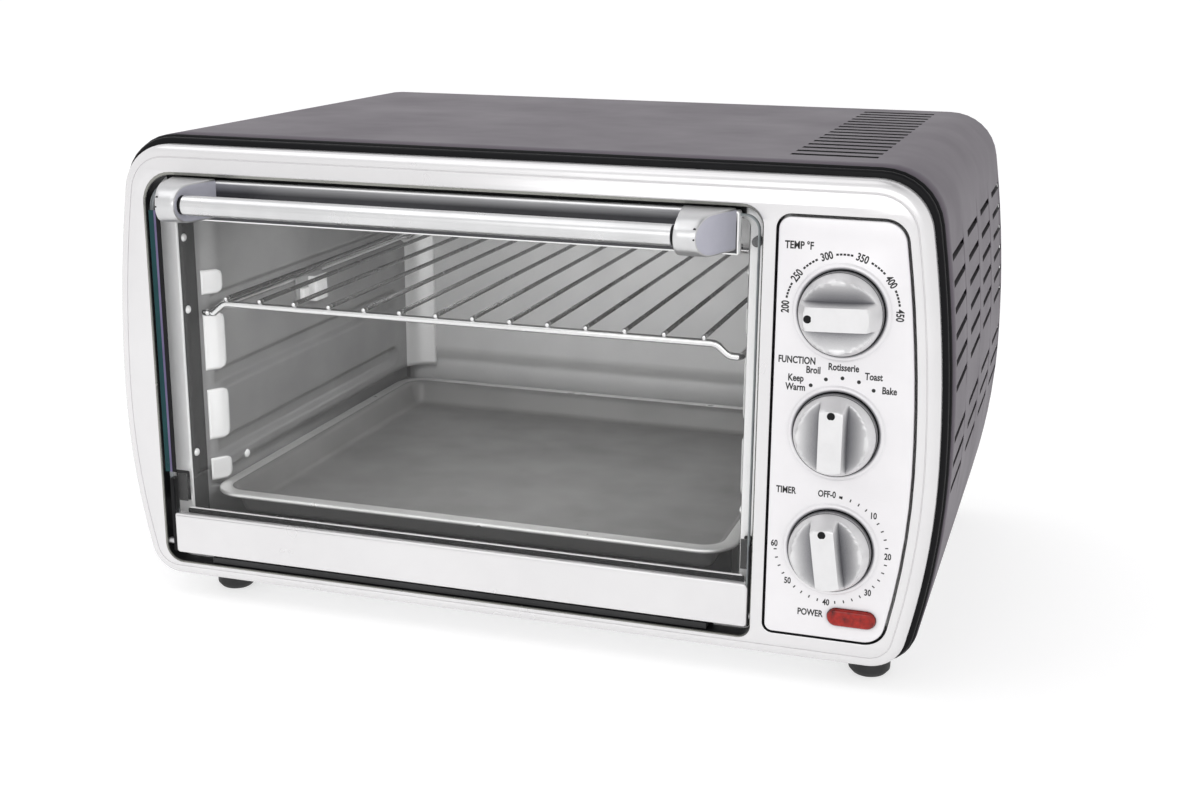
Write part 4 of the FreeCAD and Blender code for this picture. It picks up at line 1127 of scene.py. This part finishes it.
def flare_strips():
    """Painted highlights on the flared front edges of the side walls, between the grooves: bright
    strips for the flares' reflection of the bright space in front.
    """
    shape = Shape()
    spans = [(63.0, GROOVES[0][0] - 0.5)]
    spans += [(a[1] - 0.5, b[0] - 0.5) for a, b in zip(GROOVES, GROOVES[1:])]
    spans.append((GROOVES[-1][1] - 1.0, 188.0))
    for sign in (-1, 1):
        for z0, z1 in spans[0 if sign < 0 else 1:]:
            rows = []
            for z, trim in ((z0, 4.0), (z0 + 1.5, 1.2), (z0 + 4.0, 0.0), (z1 - 4.0, 0.0),
                            (z1 - 1.5, 1.2), (z1, 4.0)):
                depths = [30.0 + (FLARE_END - trim - 30.0) * i / 8 for i in range(9)]
                rows.append([(CAVITY_X + sign * (plain_half(y, sign) - 0.25), y, z)
                             for y in depths])
            shape.loft(rows, closed=False)
    obj = shape.piece("wall_flare_highlights", "oven_body", [BRIGHT], (), 40)
    thicken(obj, 0.2)


def box_faces(shape, x0, x1, y0, y1, z0, z1, slot=0, bevel=0.3):
    """A small sheet-metal block with its edges broken."""
    profile = [(-bevel, y0), (0.0, y0 + bevel), (0.0, y1 - bevel), (-bevel, y1)]
    shape.solid(square_path(x0, x1, z0, z1, bevel), profile, slot)


def bracket():
    """The spit rest: a folded bright plate on a darker foot, on the left wall."""
    shape = Shape()
    wall = CAVITY_X - WALL_HALF
    for x0, x1, y0, y1, z0, z1, slot in ((-0.2, 1.2, -13.0, 22.0, -9.0, 9.5, 1),
                                         (1.0, 6.5, 2.5, 4.0, -8.0, 8.0, 0),
                                         (5.3, 6.5, 4.0, 18.0, -8.0, 8.0, 0),
                                         (1.0, 4.0, -9.0, -2.0, -6.0, 2.0, 0)):
        box_faces(shape, wall + x0, wall + x1, SPIT_Y + y0, SPIT_Y + y1, SPIT_Z + z0,
                  SPIT_Z + z1, slot)
    shape.piece("spit_rest_bracket", "oven_body", [BRIGHT, CAVITY], ["spit_bracket"],
                40)


def rivet_heads():
    """Domed rivets on the two jambs, and the screw low on the left wall."""
    shape = Shape()
    left, right = MOUTH[0] + 0.4, MOUTH[1] - 0.4
    wall = CAVITY_X - WALL_HALF
    places = [(left, 1, 17.5, z, 2.3) for z in (209.0, 168.0, 84.0)]
    places += [(right, -1, 17.5, z, 2.3) for z in (211.0, 86.0)]
    places.append((wall, 1, 60.0, 71.5, 2.6))
    dome = ((1.0, -0.3), (1.0, 0.3), (0.8, 1.0), (0.45, 1.4), (0.12, 1.5))
    for x, sign, y, z, r in places:
        shape.close(shape.loft([circle_x(x + sign * lift, y, z, r * share, 20)
                                for share, lift in dome]))
    shape.piece("rivet_heads", "oven_body", [BRIGHT], ["jamb_rivets"], 40)


def cavity_back():
    shape = Shape()
    profile = [(0.0, CAVITY_TOP), (0.0, 150.0), (0.0, 86.0), (0.4, 83.6), (1.6, 80.6), (4.6, 76.2),
               (5.6, 74.2), (6.0, 72.0), (6.0, FLOOR_Z)]
    halves = [-158.0, -150.0, -143.5, -100.0, 0.0, 100.0, 143.5, 150.0, 158.0]
    shape.loft([[(CAVITY_X + h, CAVITY_REAR + y, z) for h in halves] for y, z in profile],
               closed=False)
    obj = shape.piece("cavity_rear_sheet", "oven_body", [CAVITY_BACK_LIT], ["cavity_back"],
                      50)
    thicken(obj, SHEET, 1.0)


# --- rack and pan ------------------------------------------------------------------------
RACK_HALF, RACK_SIDE_Z, RACK_BAR_Z = 155.5, 165.5, 171.5
RACK_ENDS = (24.0, 292.0)
WIRE_COUNT, WIRE_PITCH = 14, 21.3


def rack():
    """A loop of thick wire, and thinner wires lying across it from front to back."""
    shape = Shape()
    left, right = CAVITY_X - RACK_HALF, CAVITY_X + RACK_HALF
    y0, y1 = RACK_ENDS
    low, high = RACK_SIDE_Z, RACK_BAR_Z
    loop = [(left + 4, y0, low), (left + 6, y0, low), (left + 13, y0, high),
            (right - 13, y0, high), (right - 6, y0, low), (right, y0, low), (right, y1, low),
            (right - 5, y1, low), (right - 13, y1, high), (left + 13, y1, high),
            (left + 5, y1, low), (left, y1, low), (left, y0, low), (left + 4.2, y0, low)]
    shape.tube(smooth_path(loop, 7.0), 2.0, 12)
    first = CAVITY_X - 2.5 - WIRE_PITCH * (WIRE_COUNT - 1) / 2
    wire_z = RACK_BAR_Z + 2.9
    for i in range(WIRE_COUNT):
        x = first + i * WIRE_PITCH
        shape.tube([(x, y0 - 1.5, wire_z), (x, y0 + 1.5, wire_z), (x, y0 + 3.0, wire_z)], 1.35, 12)
        # The long wires take the painted-shade copy of the chrome.
        shape.tube([(x, y0 + 1.6, wire_z), (x, (y0 + y1) / 2, wire_z), (x, y1 - 3, wire_z),
                    (x, y1 + 1.5, wire_z)], 1.25, 10, slot=1)
    shape.piece("wire_rack_chromed", "rack", [CHROME, RACK_WIRE_SHADE], ["wire_rack"],
                60)


PAN_HALF, PAN_ENDS, PAN_RIM_Z = 155.4, (15.0, 294.0), 62.0


def pan():
    shape = Shape()
    plan = outline(CAVITY_X - PAN_HALF, CAVITY_X + PAN_HALF, PAN_ENDS[0], PAN_ENDS[1],
                   (20.0,) * 4, side_steps=6, arc_steps=10)
    profile = [(-10.6, -2.0), (-9.4, -0.95), (-7.5, -0.8), (-2.4, -0.8), (-1.5, -1.2),
               (-1.3, -2.0), (-0.7, -2.3), (-0.1, -1.6), (-0.1, -0.7), (-0.6, -0.15),
               (-1.5, 0.0), (-7.6, 0.0), (-9.2, -0.25), (-10.4, -1.2), (-11.4, -3.0),
               (-14.4, -12.4), (-15.4, -14.4), (-17.2, -15.2), (-19.5, -15.3)]
    under = [(-19.5, -16.0), (-16.8, -15.9), (-14.6, -14.9), (-13.6, -12.7), (-10.6, -3.4)]
    rings = [[(p.x, p.y, PAN_RIM_Z + drop) for p in grown(plan, d)]
             for d, drop in under + profile]
    # The rim's bead takes the painted highlight finish.
    first, last = len(under) + 5, len(under) + 11
    lower = shape.loft(rings[:first + 1])
    shape.loft(rings[first:last + 1], slot=1)
    upper = shape.loft(rings[last:])
    shape.cap((lower[0], upper[-1]))
    shape.piece("bake_pan_coated", "pan", [PAN, PAN_RIM_HIGHLIGHT], ["bake_pan"], 50)


# --- make every piece --------------------------------------------------------------------
cover()
feet()
gasket()
bezel()
control_panel()
lens()
panel_print()
for dial_name in DIAL_Z:
    knob(dial_name)
pane()
pane_edge_bands()
lower_panel()
top_rail()
handle_tube()
handle_cap(-1, "handle_cap_l", "handle_cap_left")
handle_cap(1, "handle_cap_r", "handle_cap_right")
cap_dimples()
front_frame()
side_wall(-1, "cavity_wall_left", "cavity_side_left")
side_wall(1, "cavity_wall_right", "cavity_side_right")
flare_strips()
bracket()
rivet_heads()
cavity_back()
rack()
pan()

FINISHES = {
    ZINC: ("zinc_steel", ["back_panel", "base_plate", "heat_shield", "case_screws",
                          "foot_screws", "handle_screws", "hinge_pins", "temperature_shaft",
                          "function_shaft", "timer_shaft"]),
    BLACK: ("black_moulding", ["rear_spacers", "cord_gland", "hinge_cheeks", "terminal_block"]),
    # Painted shade: jamb strips, link arms and arm pads take the shadow steel.
    SHADOW_STEEL: ("zinc_steel", ["jamb_strips", "link_arms", "arm_pads"]),
    GREY_RUBBER: ("rubber", ["door_bumpers"]),
    CAVITY: ("cavity_steel", ["cavity_top", "cavity_floor", "tray_guides"]),
    SHEATH: ("heater_sheath", ["upper_heaters", "lower_heaters"]),
    CERAMIC: ("ceramic", ["heater_insulators"]),
    LAMP_RED: ("lamp_red", ["indicator_lamp"]),
    CREAM: ("control_plastic", ["thermostat", "function_switch", "timer_mechanism"]),
    COPPER: ("copper", ["thermostat_bulb"]),
    CHROME: ("chrome_wire", ["timer_bell", "spit_drive"]),
    MOTOR: ("motor_case", ["rotisserie_motor"]),
    WIRE: ("wire_sleeve", ["internal_wiring"]),
    TRAY: ("tray_steel", ["crumb_tray"]),
}
for finish, (slot_name, node_names) in FINISHES.items():
    for node_name in node_names:
        paint(node_name, finish)


# --- stage, light and camera -------------------------------------------------------------
FLOOR_HALF = 40.0


def floor():
    mesh = bpy.data.meshes.new("floor")
    corners = [(x * FLOOR_HALF, y * FLOOR_HALF, 0) for x, y in ((-1, -1), (1, -1), (1, 1), (-1, 1))]
    mesh.from_pydata(corners, [], [(0, 1, 2, 3)])
    obj = bpy.data.objects.new("floor", mesh)
    bpy.context.scene.collection.objects.link(obj)
    white = (1.0, 1.0, 1.0, 1.0)
    mesh.materials.append(material("floor_white", 0.52, 0.51, rough=(0.7, 0.8), patch=2, grain=40,
                                   Emission_Color=white, Emission_Strength=0.62,
                                   Specular_IOR_Level=0.1))


def area_light(name, place, target, size, power):
    data = bpy.data.lights.new(name, "AREA")
    data.shape = "RECTANGLE"
    data.size, data.size_y = size
    data.energy = power
    obj = bpy.data.objects.new(name, data)
    obj.location = place
    obj.rotation_mode = "QUATERNION"
    obj.rotation_quaternion = (Vector(target) - Vector(place)).to_track_quat("-Z", "Y")
    bpy.context.scene.collection.objects.link(obj)
    return obj


def world():
    """A soft white studio, dimmer overhead."""
    scene = bpy.context.scene
    scene.world = bpy.data.worlds.new("studio")
    scene.world.use_nodes = True
    tree = scene.world.node_tree
    background = tree.nodes["Background"]
    background.inputs["Strength"].default_value = 1.0
    coords = tree.nodes.new("ShaderNodeTexCoord")
    split = tree.nodes.new("ShaderNodeSeparateXYZ")
    link(tree, coords.outputs["Generated"], split.inputs[0])
    ramp = tree.nodes.new("ShaderNodeValToRGB")
    link(tree, split.outputs["Z"], ramp.inputs["Fac"])
    stops = ramp.color_ramp.elements
    stops[0].position, stops[0].color = 0.45, (1.0, 1.0, 1.0, 1.0)
    stops[1].position, stops[1].color = 0.85, (0.70, 0.70, 0.71, 1.0)
    zenith = ramp.color_ramp.elements.new(0.97)
    zenith.color = (0.08, 0.08, 0.085, 1.0)
    link(tree, ramp.outputs["Color"], background.inputs["Color"])


AZIMUTH, ELEVATION, ROLL = 17.716, 15.522, 0.472
CAMERA_PLACE = (0.29965, -0.9025, 0.3647)
CAMERA_LENS, SENSOR_WIDTH = 48.57, 36.0


def camera():
    a, e, r = (math.radians(v) for v in (AZIMUTH, ELEVATION, ROLL))
    back = Vector((math.sin(a) * math.cos(e), -math.cos(a) * math.cos(e), math.sin(e)))
    right = (-back).cross(Vector((0, 0, 1))).normalized()
    up = right.cross(-back)
    level_right = right * math.cos(r) + up * math.sin(r)
    level_up = -right * math.sin(r) + up * math.cos(r)
    data = bpy.data.cameras.new("camera")
    data.lens = CAMERA_LENS
    data.sensor_width = SENSOR_WIDTH
    data.clip_start, data.clip_end = 0.01, 100.0
    obj = bpy.data.objects.new("camera", data)
    rotation = Matrix((level_right, level_up, back)).transposed().to_4x4()
    obj.matrix_world = Matrix.Translation(CAMERA_PLACE) @ rotation
    bpy.context.scene.collection.objects.link(obj)
    bpy.context.scene.camera = obj


floor()
world()
area_light("key_top", (-0.5, -0.3, 1.9), (0, 0, 0.15), (1.6, 1.6), 10)
area_light("front_fill", (0.2, -1.9, 0.9), (0, 0, 0.12), (1.6, 0.9), 6)
cavity_glow = area_light("cavity_glow", at(CAVITY_X, 62, 241), at(CAVITY_X, 170, 60),
                         (0.10, 0.06), 0.70)
cavity_glow.visible_glossy = False
camera()
bpy.context.scene.view_settings.view_transform = "Standard"
